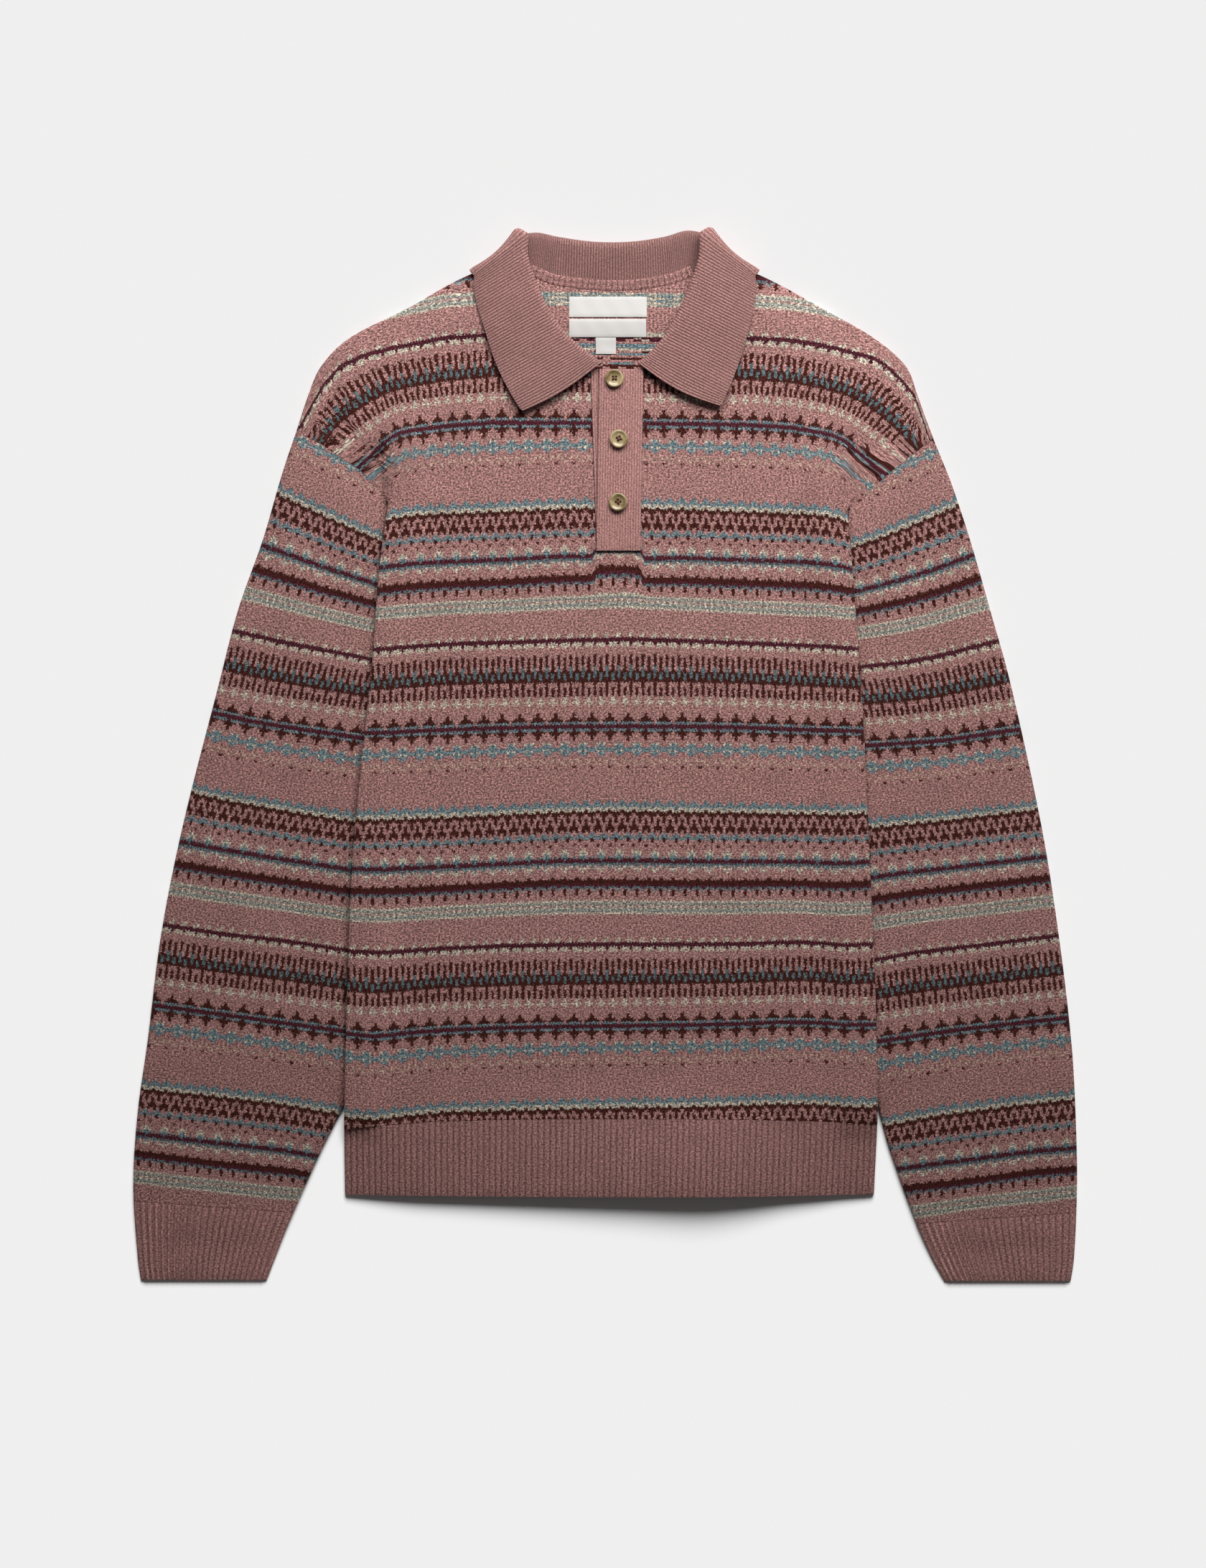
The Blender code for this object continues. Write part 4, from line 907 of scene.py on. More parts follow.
@dataclass(frozen=True)
class PlainFinish:
    """A textile of one colour: matt spun thread, or satin tape with a fine weave and a sheen."""
    name: str
    colour: str
    roughness: float = 0.8
    sheen: float = 0.0
    weave_pitch: float = 0.0  # mm; coarser than real, so that it shows; none where 0
    weave_tone: float = 0.1

    def build(self) -> Material:
        """Makes the material."""
        material = bpy.data.materials.new(self.name)
        sheet = Sheet(material)
        named = {"Roughness": self.roughness, "Sheen Weight": self.sheen}
        colour = linear(self.colour)
        if self.weave_pitch:
            place = sheet.add("NewGeometry", output="Position")
            tone = sheet.add("TexNoise", place, None, 0.4 / (self.weave_pitch * MM), 2.0,
                             output="Fac")
            value = sheet.add("Math.MULTIPLY_ADD", tone, self.weave_tone,
                              1.0 - 0.5 * self.weave_tone)
            named["Base Color"] = sheet.add("VectorMath.SCALE", colour[:3],
                                            named={"Scale": value})
            weave = sheet.add("TexWave", place, WAVE_TURN / (self.weave_pitch * MM),
                              output="Fac", bands_direction="Y")
            named["Normal"] = sheet.add("Bump", named={"Height": weave, "Strength": 0.3,
                                                       "Distance": 0.1 * MM})
        else:
            named["Base Color"] = colour
        sheet.add("OutputMaterial", sheet.add("BsdfPrincipled", named=named))
        return material


# ---- cloth walls

@dataclass
class Cloth:
    """A wall of cloth as rows of knots, in millimetres.

    closed joins the last column to the first, as around a tube, and keep says which cells of
    the grid exist. lined gives the inside the piece's second material.
    """
    knots: list[list[Knot]]
    closed: bool = False
    lined: bool = False
    keep: Callable[[int, int], bool] = lambda row, column: True

    def build(self, name: str) -> Object:
        """Faces both sides, and closes the rim between them along every open edge.

        Args:
            name: the new object's name.

        Returns:
            The object, smooth but for its sharp rims, with its stitches as a UV map.
        """
        rows, columns = len(self.knots), len(self.knots[0])
        last = columns if self.closed else columns - 1
        cells = [(r, c, (c + 1) % columns) for r in range(rows - 1) for c in range(last)
                 if self.keep(r, c)]
        used = sorted({(r + step, c) for r, left, right in cells for step in (0, 1)
                       for c in (left, right)})
        number = {place: index for index, place in enumerate(used)}
        count = len(used)
        points = [tuple(self.knots[r][c][side] * MM) for side in (0, 1) for r, c in used]
        faces, border = [], {}
        for r, left, right in cells:
            corners = ((r, left), (r + 1, left), (r + 1, right), (r, right))
            faces.append([number[corner] for corner in corners])
            faces.append([number[corner] + count for corner in reversed(corners)])
            for start, end in zip(corners, corners[1:] + corners[:1]):
                if border.pop((end, start), None) is None:
                    border[(start, end)] = True
        for start, end in border:
            a, b = number[start], number[end]
            faces.append([b, a, a + count, b + count])
        mesh = bpy.data.meshes.new(name)
        mesh.from_pydata(points, [], faces)
        if self.lined:
            mesh.polygons.foreach_set("material_index", [
                index % 2 if index < 2 * len(cells) else 0 for index in range(len(faces))])
        layer = mesh.uv_layers.new(name="stitches")
        places = [self.knots[r][c][2] for r, c in used] * 2
        layer.data.foreach_set("uv", [value for loop in mesh.loops
                                      for value in places[loop.vertex_index]])
        work = bmesh.new()
        work.from_mesh(mesh)
        smooth(write(work, mesh), sharp_from=60.0)
        return put(name, mesh)


def dress(piece: Object, slot: str, *materials: Material, node: str | None = None) -> None:
    """Gives a piece its materials and its place on the shirt's one body.

    Args:
        piece: the new piece.
        slot: the record's material slot that it belongs to; not used.
        materials: what it is made of.
        node: the CAD node that it stands in for, if there is one.
    """
    for material in materials:
        piece.data.materials.append(material)
    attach(piece, "root")
    if node:
        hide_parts(node)
    LOG.info("%s: %d faces, %.4f square metres", piece.name, len(piece.data.polygons),
             sum(face.area for face in piece.data.polygons) / 2)


def rib_wave(ribs: float) -> float:
    """Height of a rib, from 0 to 1, at a place counted in ribs: round tops, narrow grooves."""
    return abs(sin(pi * ribs)) ** 0.7


# ---- body

@dataclass(frozen=True)
class Body:
    """The front and back panels with their ribbed hems."""
    rows: tuple[float, ...] = (
        371, 366, 360, 354, 350, 335.6, 328.6, 314, 306.5, 301.1, 296, 290.3,
        270.8, 248.1, 237.9, 226, 215, 203, 189.8, 184.4, 172, 158, 153.1, 125,
        20, -110, -215, -245, -263.8, -273.5)
    row_step: float = 5.0
    edge_columns: tuple[float, ...] = (
        0, 0.5, 1.5, 2.7, 4, 6.5, 9, 12, 14.5, 17, 19.5, 22, 24.5, 27, 29.5, 32,
        34.5, 37, 39.5, 42)
    inner_columns: int = 36
    middle_columns: int = 6
    full_half: float = 90.0  # a narrower half squeezes its columns
    slot_top: float = 290.3
    slot_foot: float = 153.1
    back_neck: float = 350.0
    slot_right: Curve = ((290.3, -11.3), (153.1, -6.8))
    slot_left: Curve = ((290.3, 28.3), (153.1, 26.5))
    hem_foot: float = -331.8
    sag_from_y: float = -175.0  # the rows sag to the sides from here down to the hem rib
    corner_rise: float = 1.8  # the hem's foot curves up this much to its corners
    hem_rows: int = 13
    hem_ribs: int = 88
    rib_height: float = 0.8
    rib_steps: int = 6
    under_rounding: float = 0.6  # of the back's edges, beside those of the front
    front_press: float = 0.4  # how much of the foot's rounding each hem has
    back_press: float = 0.3
    corner_press: float = 1.1  # the front's hem lies flatter by this at its corners
    corner_reach: float = 60.0
    first_wale_x: float = 57.8  # middle of the chart's first column
    gape: Curve = ((-192, 0), (-130, 1.6), (-50, 5.2), (20, 9), (72, 11.6), (105, 8.4),
                   (140, 2.6), (175, 0))  # at the foot of the front's hem
    gape_from_y: float = -235.0
    bend_from: float = 100.0  # x where the rows start to bend down over the shoulder
    bend_reach: float = 20.0  # width over which they take the bend up
    bend_foot: float = 206.0
    bend_top: float = 240.0
    line_step: float = 1.5

    def shoulder_lines(self) -> Shoulders:
        """A row of stitches over each shoulder, as (x, y, length along it) places, by side."""
        row = BODY_STITCHES.rows[1]
        knots = [(x, row.y_at(x)) for x, _ in row.places]
        lines = {}
        for outline in OUTLINES:
            x = outline.sign * self.bend_from
            places = [(x, through(knots, x), self.bend_from)]
            while abs(x) < abs(outline.armhole[0][1]):
                x += outline.sign * self.line_step
                y = through(knots, x)
                length = hypot(self.line_step, y - places[-1][1])
                places.append((x, y, places[-1][2] + length))
            lines[outline.sign] = places
        return lines

    def wale_at(self, x: float, y: float, lines: Shoulders) -> float:
        """Stitches along a row, counted from the chart's first column.

        Args:
            x: place across the panel.
            y: place along it.
            lines: the rows over the shoulders, where columns of stitches stand square to them.

        Returns:
            The number of the stitch, with its fraction.
        """
        bend = ease((y - self.bend_foot) / (self.bend_top - self.bend_foot))
        along = x
        if bend > 0.0 and abs(x) > self.bend_from:
            sign = 1 if x > 0 else -1
            best = min(lines[sign], key=lambda place: (place[0] - x) ** 2 + (place[1] - y) ** 2)
            part = ease((abs(x) - self.bend_from) / self.bend_reach)
            along = mix(x, sign * best[2], bend * part)
        return (along - self.first_wale_x) / WALE_PITCH + 0.5

    def inner_x(self, y: float, is_front: bool) -> Pair:
        """Right and left inner edge of a panel's halves: its neck, then the placket's slot."""
        slot = straight(self.slot_right, y), straight(self.slot_left, y)
        if y <= self.slot_top:
            return slot
        if is_front:
            return through(RIGHT.front_neck, y), through(LEFT.front_neck, y)
        if y >= self.back_neck:
            return through(RIGHT.back_neck, y), through(LEFT.back_neck, y)
        part = (self.back_neck - y) / (self.back_neck - self.slot_top)
        starts = RIGHT.back_neck[-1][1], LEFT.back_neck[-1][1]
        ends = self.slot_right[0][1], self.slot_left[0][1]
        return tuple(mix(start, end, part) for start, end in zip(starts, ends))

    def half_columns(self, outer_x: float, inner_x: float) -> list[float]:
        """Columns of half a panel, from its side to its inner edge."""
        width = abs(inner_x - outer_x)
        squeeze = min(1.0, width / self.full_half)
        steps = [step * squeeze for step in self.edge_columns]
        steps += [mix(steps[-1], width, k / self.inner_columns)
                  for k in range(1, self.inner_columns + 1)]
        return [outer_x + copysign(step, inner_x - outer_x) for step in steps]

    def columns(self, y: float, is_front: bool) -> list[float]:
        """All columns of a panel at a height, from the wearer's right to left."""
        right, left = self.inner_x(y, is_front)
        middle = [mix(right, left, k / self.middle_columns)
                  for k in range(1, self.middle_columns)]
        return (self.half_columns(RIGHT.side_x(y), right) + middle
                + self.half_columns(LEFT.side_x(y), left)[::-1])

    def hem_line_drop(self, x: float, y: float) -> float:
        """Sag of the lowest rows of the panels towards the sides."""
        fade = clamp((self.sag_from_y - y) / (self.sag_from_y - self.rows[-1]))
        outline = RIGHT if x < 0 else LEFT
        return outline.hem_drop * fade * abs(x / outline.side[-1][1]) ** 3

    def front_lift(self, x: float, y: float) -> float:
        """What the creases and the gaping hem add to the front's height."""
        part = ease((self.gape_from_y - y) / (self.gape_from_y - self.hem_foot))
        rise = through(self.gape, x) * part
        return rise + crease_lift(BODY_CREASES, x, y)

    def panel(self, is_front: bool) -> Cloth:
        """One panel; the cells between its halves are left out above the slot's foot or neck."""
        floor = LAYERS.front_floor if is_front else LAYERS.back_floor
        rows = spread(self.rows, self.row_step)
        lines = self.shoulder_lines()
        knitted = BODY_STITCHES if is_front else BACK_STITCHES
        knots = []
        for y in rows:
            line = []
            foot = LAYERS.seam_gap / 2 if y == rows[-1] else 0.0
            for x in self.columns(y, is_front):
                place_y = y - self.hem_line_drop(x, y) + foot
                base, drop = floor(x, y), LAYERS.edge_drop(x, y)
                top = base + LAYERS.wall
                if is_front:
                    lift = self.front_lift(x, place_y)
                    top += lift - drop
                    base += lift
                else:
                    base += self.under_rounding * drop
                line.append((Vector((x, place_y, top)), Vector((x, place_y, base)),
                             (self.wale_at(x, place_y, lines), knitted.number_at(x, place_y))))
            knots.append(line)
        half = len(self.edge_columns) + self.inner_columns
        middle = range(half - 1, half - 1 + self.middle_columns)
        open_above = self.slot_foot if is_front else self.back_neck

        def keep(row: int, column: int) -> bool:
            """Whether a cell is cloth."""
            return column not in middle or rows[row] <= open_above

        return Cloth(knots, lined=True, keep=keep)

    def hem(self, is_front: bool) -> Cloth:
        """Ribbed border below a panel; the back's ribs are as plain as its solid's."""
        floor = LAYERS.front_floor if is_front else LAYERS.back_floor
        steps = self.hem_ribs * self.rib_steps
        knots = []
        for row in range(self.hem_rows):
            line = []
            down = row / (self.hem_rows - 1)
            for step in range(steps + 1):
                part = step / steps
                x = mix(RIGHT.side_x(self.hem_foot), LEFT.side_x(self.hem_foot), part)
                top_y = self.rows[-1] - self.hem_line_drop(x, self.rows[-1]) - LAYERS.seam_gap / 2
                foot_y = self.hem_foot + self.corner_rise * abs(x / LEFT.side[-1][1]) ** 3
                y = mix(top_y, foot_y, down)
                x = mix(RIGHT.side_x(y), LEFT.side_x(y), part)
                base, drop = floor(x, y), LAYERS.edge_drop(x, y)
                pressed = LAYERS.foot_drop(y - foot_y)
                if is_front:
                    base += self.front_lift(x, y)
                    corner = 1.0 - ease(LAYERS.nearest_side(x, y) / self.corner_reach)
                    top = base + LAYERS.wall + self.rib_height * rib_wave(part * self.hem_ribs)
                    top -= drop + self.front_press * pressed
                    top -= self.corner_press * corner * ease(down)
                else:
                    top = base + LAYERS.wall - self.back_press * pressed
                    base += self.under_rounding * drop
                line.append((Vector((x, y, top)), Vector((x, y, base)),
                             (part * self.hem_ribs * 2.0, -y / ROW_PITCH)))
            knots.append(line)
        return Cloth(knots)

    def build(self, knit: Material, reverse: Material, rib: Material) -> None:
        """Makes the panels and hems, and dresses them.

        Args:
            knit: the patterned cloth's right side.
            reverse: its wrong side, which shows inside the neck, darker as painted shade.
            rib: the plain ribbed cloth, darker as painted shade.
        """
        for name, is_front in (("back", False), ("front", True)):
            piece = self.panel(is_front).build(f"{name}_panel")
            dress(piece, "knit", *((knit, reverse) if is_front else (reverse, knit)), node=name)
            border = self.hem(is_front).build(f"{name}_hem_rib")
            dress(border, "rib_knit", rib, node=f"hem_{name}")


# ---- sleeves

@dataclass(frozen=True)
class Sleeve:
    """A folded sleeve and its ribbed cuff, as flattened tubes."""
    outline: Outline
    step: float = 5.0
    row_tries: int = 4  # each comes nearer to a row's end at the outer fold
    layer_columns: int = 26
    layer_inset: float = 0.035  # the folds take this part of the width at each side
    head_rows: int = 9
    seam_steps: int = 24
    seam_dip: float = 0.2  # the armhole seam is sunk by this
    dip_from: float = 0.8  # how level the sleeve is with the front where the dip starts
    fold_steps: int = 8
    fold_width: float = 3.0
    inner_fold: float = 1.1
    loft_power: float = 0.7  # below 1 the upper layer is flatter in the middle
    cuff_rows: int = 13
    cuff_ribs: int = 23
    cuff_inset: float = 0.03
    cuff_press: float = 2.0  # how much lower the cuff's foot lies
    foot_press: float = 0.45  # and how much of the foot's rounding it has
    inner_press: float = 0.4  # the inside gives way by this at most
    rib_height: float = 0.8
    rib_steps: int = 6

    def armhole_place(self, part: float) -> Vector:
        """Place on the sleeve's side of the armhole seam, at a part of its way down."""
        top, foot = self.outline.armhole[0][0], self.outline.armhole[-1][0]
        ys = [mix(top, foot, k / self.seam_steps) for k in range(self.seam_steps + 1)]
        line = [Vector((self.outline.side_x(y), y, 0.0)) for y in ys]
        lengths = [(end - start).length for start, end in zip(line, line[1:])]
        index, within = stretch_at(lengths, part * sum(lengths))
        whole = line[-1] - line[0]
        away = Vector((whole.y, -whole.x, 0.0)).normalized() * -self.outline.sign
        return line[index].lerp(line[index + 1], within) + away * LAYERS.armhole_gap

    def across(self, outer_y: float, inner_y: float, part: float) -> Vector:
        """Place on a row of stitches, at a part of its way from the outer fold to the inner."""
        start = Vector((through(self.outline.sleeve_outer, outer_y), outer_y, 0.0))
        end = Vector((self.outline.sleeve_inner_x(inner_y), inner_y, 0.0))
        return start.lerp(end, part)

    def sections(self) -> list[tuple[Plan, float]]:
        """Plans of the sleeve's sections, from the armhole down, closely spaced.

        Returns:
            For each section its plan, and how far its upper layer is level with the front.
        """
        courses = self.outline.sleeve_courses
        plans = []
        first = courses[0]
        for k in range(self.head_rows):
            def head(part: float, blend: float = k / self.head_rows) -> Vector:
                """A section between the armhole seam and the first full row."""
                return self.armhole_place(part).lerp(self.across(*first, part), blend)
            plans.append((head, 1.0 - ease(k / self.head_rows)))
        for start, end in zip(courses, courses[1:]):
            count = ceil(abs(end[0] - start[0]) / self.step)
            for k in range(count):
                pair = mix(start[0], end[0], k / count), mix(start[1], end[1], k / count)

                def body(part: float, pair: tuple = pair) -> Vector:
                    """A section along a row of stitches."""
                    return self.across(*pair, part)
                plans.append((body, 0.0))

        def foot(part: float) -> Vector:
            """The last section, at the seam with the cuff."""
            return self.across(*courses[-1], part) + Vector((0, LAYERS.seam_gap / 2, 0))
        plans.append((foot, 0.0))
        return plans

    def section(self, plan: Plan, parts: list[float], outside: bool,
                rib: Callable[[float], float], level: float = 0.0,
                pressed: float = 0.0) -> list[Vector]:
        """Section of the flattened tube.

        Args:
            plan: place in plan at a part of the width.
            parts: where the upper and lower layer have points.
            outside: whether this is the tube's outer face.
            rib: height of the ribs at a part of the width.
            level: how far the upper layer is level with the front panel, from 0 to 1.
            pressed: how much lower the outside lies than the full stack.

        Returns:
            Points around the tube: outer fold, upper layer, inner fold, lower layer.
        """
        width = (plan(1.0) - plan(0.0)).length
        low, reach, high = 0.0, self.fold_width, LAYERS.stack - pressed
        if not outside:
            low, reach = LAYERS.wall, self.inner_fold
            high = LAYERS.wall + LAYERS.layer_gap - min(self.inner_press, pressed)
        fold = []
        for k in range(self.fold_steps + 1):
            turn = pi * (k / self.fold_steps - 0.5)
            fold.append(((low + reach * (1 - cos(turn))) / width,
                         mix(low, high, 0.5 + 0.5 * sin(turn))))
        upper = []
        for part in parts:
            place = plan(part)
            lift = mix(crease_lift(SLEEVE_CREASES[self.outline.name], place.x, place.y),
                       crease_lift(BODY_CREASES, place.x, place.y), level)
            loft = LAYERS.sleeve_loft * max(0.0, 1.0 - pressed)
            own = high + loft * sin(pi * part) ** self.loft_power
            front = LAYERS.front_floor(place.x, place.y) + (LAYERS.wall if outside else 0.0)
            dip = self.seam_dip * clamp((level - self.dip_from) / (1.0 - self.dip_from))
            upper.append((part, mix(own, front - dip, level) + lift
                          + (rib(part) if outside else 0.0)))
        heights = (fold + upper + [(1.0 - part, height) for part, height in reversed(fold)]
                   + [(part, low) for part in reversed(parts)])
        return [Vector((*plan(part).xy, height)) for part, height in heights]

    def wale_at(self, place: Vector) -> Pair:
        """Stitches from the outer fold along the row through a place, and that row's number."""
        rows = SLEEVE_STITCHES[self.outline.name]
        number = rows.number_at(place.x, place.y)
        outer_y = place.y
        for _ in range(self.row_tries):
            outer_x = through(self.outline.sleeve_outer, outer_y)
            outer_y = rows.y_at(number, outer_x)
        return hypot(place.x - outer_x, place.y - outer_y) / WALE_PITCH, number

    def tube(self) -> Cloth:
        """The sleeve from the armhole seam to the cuff."""
        count = self.layer_columns
        parts = [mix(self.layer_inset, 1.0 - self.layer_inset, k / (count - 1))
                 for k in range(count)]
        knots = []
        for plan, level in self.sections():
            sides = [self.section(plan, parts, outside, lambda part: 0.0, level)
                     for outside in (True, False)]
            knots.append([(outer, inner, self.wale_at(outer)) for outer, inner in zip(*sides)])
        return Cloth(knots, closed=True)

    def cuff(self) -> Cloth:
        """The ribbed tube below the sleeve; its lower layer lies on the surface and is plain."""
        top, foot = self.outline.sleeve_courses[-1], self.outline.cuff_foot
        count = self.cuff_ribs * self.rib_steps
        parts = [mix(self.cuff_inset, 1.0 - self.cuff_inset, k / count) for k in range(count + 1)]
        knots = []
        for row in range(self.cuff_rows):
            down = row / (self.cuff_rows - 1)
            pair = mix(top[0], foot, down), mix(top[1], foot, down)

            def plan(part: float) -> Vector:
                """Place in the row, a seam's width below the sleeve."""
                gap = Vector((0, -LAYERS.seam_gap / 2 if row == 0 else 0.0, 0))
                return self.across(*pair, part) + gap

            def rib(part: float) -> float:
                """Height of the ribs across the upper layer."""
                ribs = (part - self.cuff_inset) / (1.0 - 2.0 * self.cuff_inset) * self.cuff_ribs
                return self.rib_height * rib_wave(ribs)

            pressed = (self.foot_press * LAYERS.foot_drop((1.0 - down) * (top[0] - foot))
                       + self.cuff_press * ease(down))
            sides = [self.section(plan, parts, outside, rib, pressed=pressed)
                     for outside in (True, False)]
            start, width = plan(0.0).xy, (plan(1.0) - plan(0.0)).length
            knots.append([(outer, inner, ((outer.xy - start).length / width * self.cuff_ribs * 2,
                                          -outer.y / ROW_PITCH))
                          for outer, inner in zip(*sides)])
        return Cloth(knots, closed=True)

    def build(self, knit: Material, rib: Material) -> None:
        """Makes the sleeve and cuff, and dresses them."""
        name = self.outline.name
        sleeve = self.tube().build(f"{name}_sleeve")
        dress(sleeve, "knit", knit, node=f"sleeve_{name}")
        cuff = self.cuff().build(f"{name}_cuff_rib")
        dress(cuff, "rib_knit", rib, node=f"cuff_{name}")


# ---- collar

@dataclass(frozen=True)
class CollarRib:
    """A rib line of the collar, through the middle of its wall, as (x, y, z) places.

    way is 1 where the leaf lies on the stand and -1 where it lies under it.
    """
    neck: Triple
    fold: Triple  # the outermost point of the fold
    edge: Triple  # the leaf's edge
    fold_radius: float
    way: int
    bow: Pair = (0.0, 0.0)  # how far the leaf's middle lies off a straight line

    def places(self, bulge: float) -> list[Vector]:
        """Six places along the rib: neck, fold's foot, apex and top, middle of the leaf, edge."""
        neck, fold, edge = Vector(self.neck), Vector(self.fold), Vector(self.edge)
        apex_way = Vector((*(fold - neck).xy, 0.0)).normalized()
        leaf_way = Vector((0.0, 0.0, self.way))
        centre = fold - self.fold_radius * apex_way
        top = centre + self.fold_radius * leaf_way
        lift = Vector((*self.bow, bulge if self.way > 0 else 0.0))
        return [neck, centre - self.fold_radius * leaf_way, fold, top,
                top.lerp(edge, 0.5) + lift, edge]


@dataclass(frozen=True)
class CollarCorner:
    """The collar's turn around the shoulder, where it goes from the front to the back.

    The stand and the leaf turn half a circle about two axes, given in plan. The unit vectors
    point from each axis to the outside of the corner. The neck edge turns above the panels.
    """
    side: int
    front_neck: Triple
    back_neck: Triple
    fold_axis: Pair
    fold_outward: Pair
    edge_axis: Pair
    edge_outward: Pair
    fold_radius: float = 2.6
    stand_z: float = 9.4
    stand_radius: float = 3.0
    edge_z: float = 6.4
    edge_radius: float = 5.2
    sag: float = 3.4  # how far the turned leaf sinks in between fold and edge
    neck_out: float = 2.0
    neck_up: float = 2.8

    def places(self, part: float, bulge: float) -> list[Vector]:
        """Six places along the rib at a part of the way from the front to the back."""
        turn = pi * part
        up = Vector((0.0, 0.0, cos(turn)))
        outward = Vector((*self.fold_outward, 0.0))
        leaf_way = sin(turn) * outward + up
        edge_way = sin(turn) * Vector((*self.edge_outward, 0.0)) + up
        apex_way = Vector((-self.side * outward.y, self.side * outward.x, 0.0))
        centre = (Vector((*self.fold_axis, self.stand_z))
                  + (self.stand_radius + self.fold_radius) * leaf_way)
        edge = Vector((*self.edge_axis, self.edge_z)) + self.edge_radius * edge_way
        neck = Vector(self.front_neck).lerp(Vector(self.back_neck), 0.5 - 0.5 * cos(turn))
        neck += sin(turn) * Vector((self.side * self.neck_out, self.neck_up, 0.0))
        top = centre + self.fold_radius * leaf_way
        lift = edge_way * bulge * max(0.0, cos(turn))
        lift -= self.sag * sin(turn) * Vector((*self.edge_outward, 0.0))
        return [neck, centre - self.fold_radius * leaf_way, centre + self.fold_radius * apex_way,
                top, top.lerp(edge, 0.5) + lift, edge]


@dataclass(frozen=True)
class Collar:
    """One ribbed strip, linked to the neck edge and folded over, from right front to left."""
    front_right: tuple[CollarRib, ...] = (
        CollarRib((-10.5, 291.3, 7.2), (-3, 293.4, 10.8), (-62.3, 257.3, 13.2), 1.9, 1,
                  (1.4, -2.3)),
        CollarRib((-21.5, 296.8, 7.2), (-17.6, 304.2, 11.6), (-71.8, 272.9, 12.4), 2.2, 1),
        CollarRib((-38.9, 307.2, 7.8), (-32, 317.2, 12.6), (-80.4, 290.2, 11.2), 2.4, 1),
        CollarRib((-58, 336, 10), (-48.4, 344, 13.6), (-90.5, 319.8, 12.6), 2.6, 1),
        CollarRib((-64.2, 354.5, 9.6), (-54.6, 359.5, 14.2), (-95.4, 336, 12.4), 2.6, 1),
        CollarRib((-64.5, 368, 8.3), (-59.3, 375.1, 14.7), (-98.6, 350.5, 12), 2.6, 1),
    )
    corner_right: CollarCorner = CollarCorner(
        side=-1, front_neck=(-64.4, 371, 8.1), back_neck=(-61.3, 370.6, 4.2),
        fold_axis=(-60.7, 388.3), fold_outward=(-0.85, 0.53),
        edge_axis=(-98.3, 359.6), edge_outward=(-0.64, 0.77))
    back: tuple[CollarRib, ...] = (
        CollarRib((-53.3, 360.8, 4.2), (-50.5, 391, 4), (-78, 341, 1.2), 2.8, -1),
        CollarRib((-38.7, 354.9, 4.2), (-36, 388, 4.3), (-46, 333, 1.2), 3.1, -1),
        CollarRib((-5.8, 350.9, 4.2), (-5, 384, 4.6), (-7, 331.5, 1.2), 3.4, -1),
        CollarRib((21.1, 350.9, 4.2), (20, 384.3, 4.6), (22, 331.5, 1.2), 3.4, -1),
        CollarRib((47.6, 354.9, 4.2), (45, 388, 4.3), (56, 333, 1.2), 3.1, -1),
        CollarRib((64.3, 360.8, 4.2), (62, 392.6, 4), (92, 341, 1.2), 2.8, -1),
    )
    corner_left: CollarCorner = CollarCorner(
        side=1, front_neck=(76.9, 371.6, 8.1), back_neck=(73, 370.9, 4.2),
        fold_axis=(73.7, 389.1), fold_outward=(0.85, 0.53),
        edge_axis=(112.6, 359.4), edge_outward=(0.60, 0.80))
    front_left: tuple[CollarRib, ...] = (
        CollarRib((77.6, 366.6, 8.4), (71.6, 374, 14.7), (113.4, 350, 12), 2.6, 1),
        CollarRib((77, 354.5, 9.6), (66.6, 357.5, 14.2), (111.3, 335, 12.4), 2.6, 1),
        CollarRib((70.5, 336, 10), (60.3, 342, 13.6), (107.7, 319, 12.6), 2.6, 1),
        CollarRib((54.9, 307, 7.8), (46.6, 315.2, 12.6), (98.4, 289, 11.2), 2.4, 1),
        CollarRib((43.6, 296.7, 7.2), (36, 302.7, 11.6), (92.4, 273.9, 12.4), 2.2, 1),
        CollarRib((28, 291.2, 7.2), (25.5, 293.6, 10.8), (86.7, 261.1, 13.2), 1.9, 1,
                  (-1.7, -3.3)),
    )
    wall: float = 2.4
    bulge: float = 0.8
    rib_pitch: float = 2.2
    rib_height: float = 0.5
    rib_steps: int = 5
    stand_steps: int = 5
    fold_steps: int = 8
    leaf_steps: int = 12
    length_steps: int = 24
    tip_radius: float = 3.5  # of the leaf's two corners in front
    fold_top: int = 3  # which place of a rib line is the fold's top
    leaf_middle: int = 4  # and which the leaf's middle
    thinning: Pair = (0.1, 0.5)  # of each side, at the leaf's last places
    edge_rib: float = 0.4  # part of a rib's height that is left at the leaf's edge
    seam_fade: float = 1.5  # places over which the ribs grow from the neck edge
    normal_reach: int = 3  # sections to each side that a normal is taken from

    @staticmethod
    def curve_point(points: tuple[Vector, ...], spans: tuple[float, ...], t: float) -> Vector:
        """Curve between the middle two of four points, with tangents that suit uneven spans.

        Args:
            points: the four; the first and last may repeat their neighbours.
            spans: the three lengths between them.
            t: part of the way.

        Returns:
            The point there.
        """
        before, start, end, after = points
        first, middle, last = spans
        leave = (end - start) / middle
        if before != start:
            leave = ((start - before) / first * middle + leave * first) / (first + middle)
        arrive = (end - start) / middle
        if after != end:
            arrive = (arrive * last + (after - end) / last * middle) / (middle + last)
        return cubic(start, end, middle * leave, middle * arrive, t)

    def between(self, lines: list[list[Vector]]) -> Callable[[float], Section]:
        """Smooth surface through rib lines, as a function of the part of the way along them."""
        middle = self.leaf_middle
        spans = [(end[middle] - start[middle]).length for start, end in zip(lines, lines[1:])]

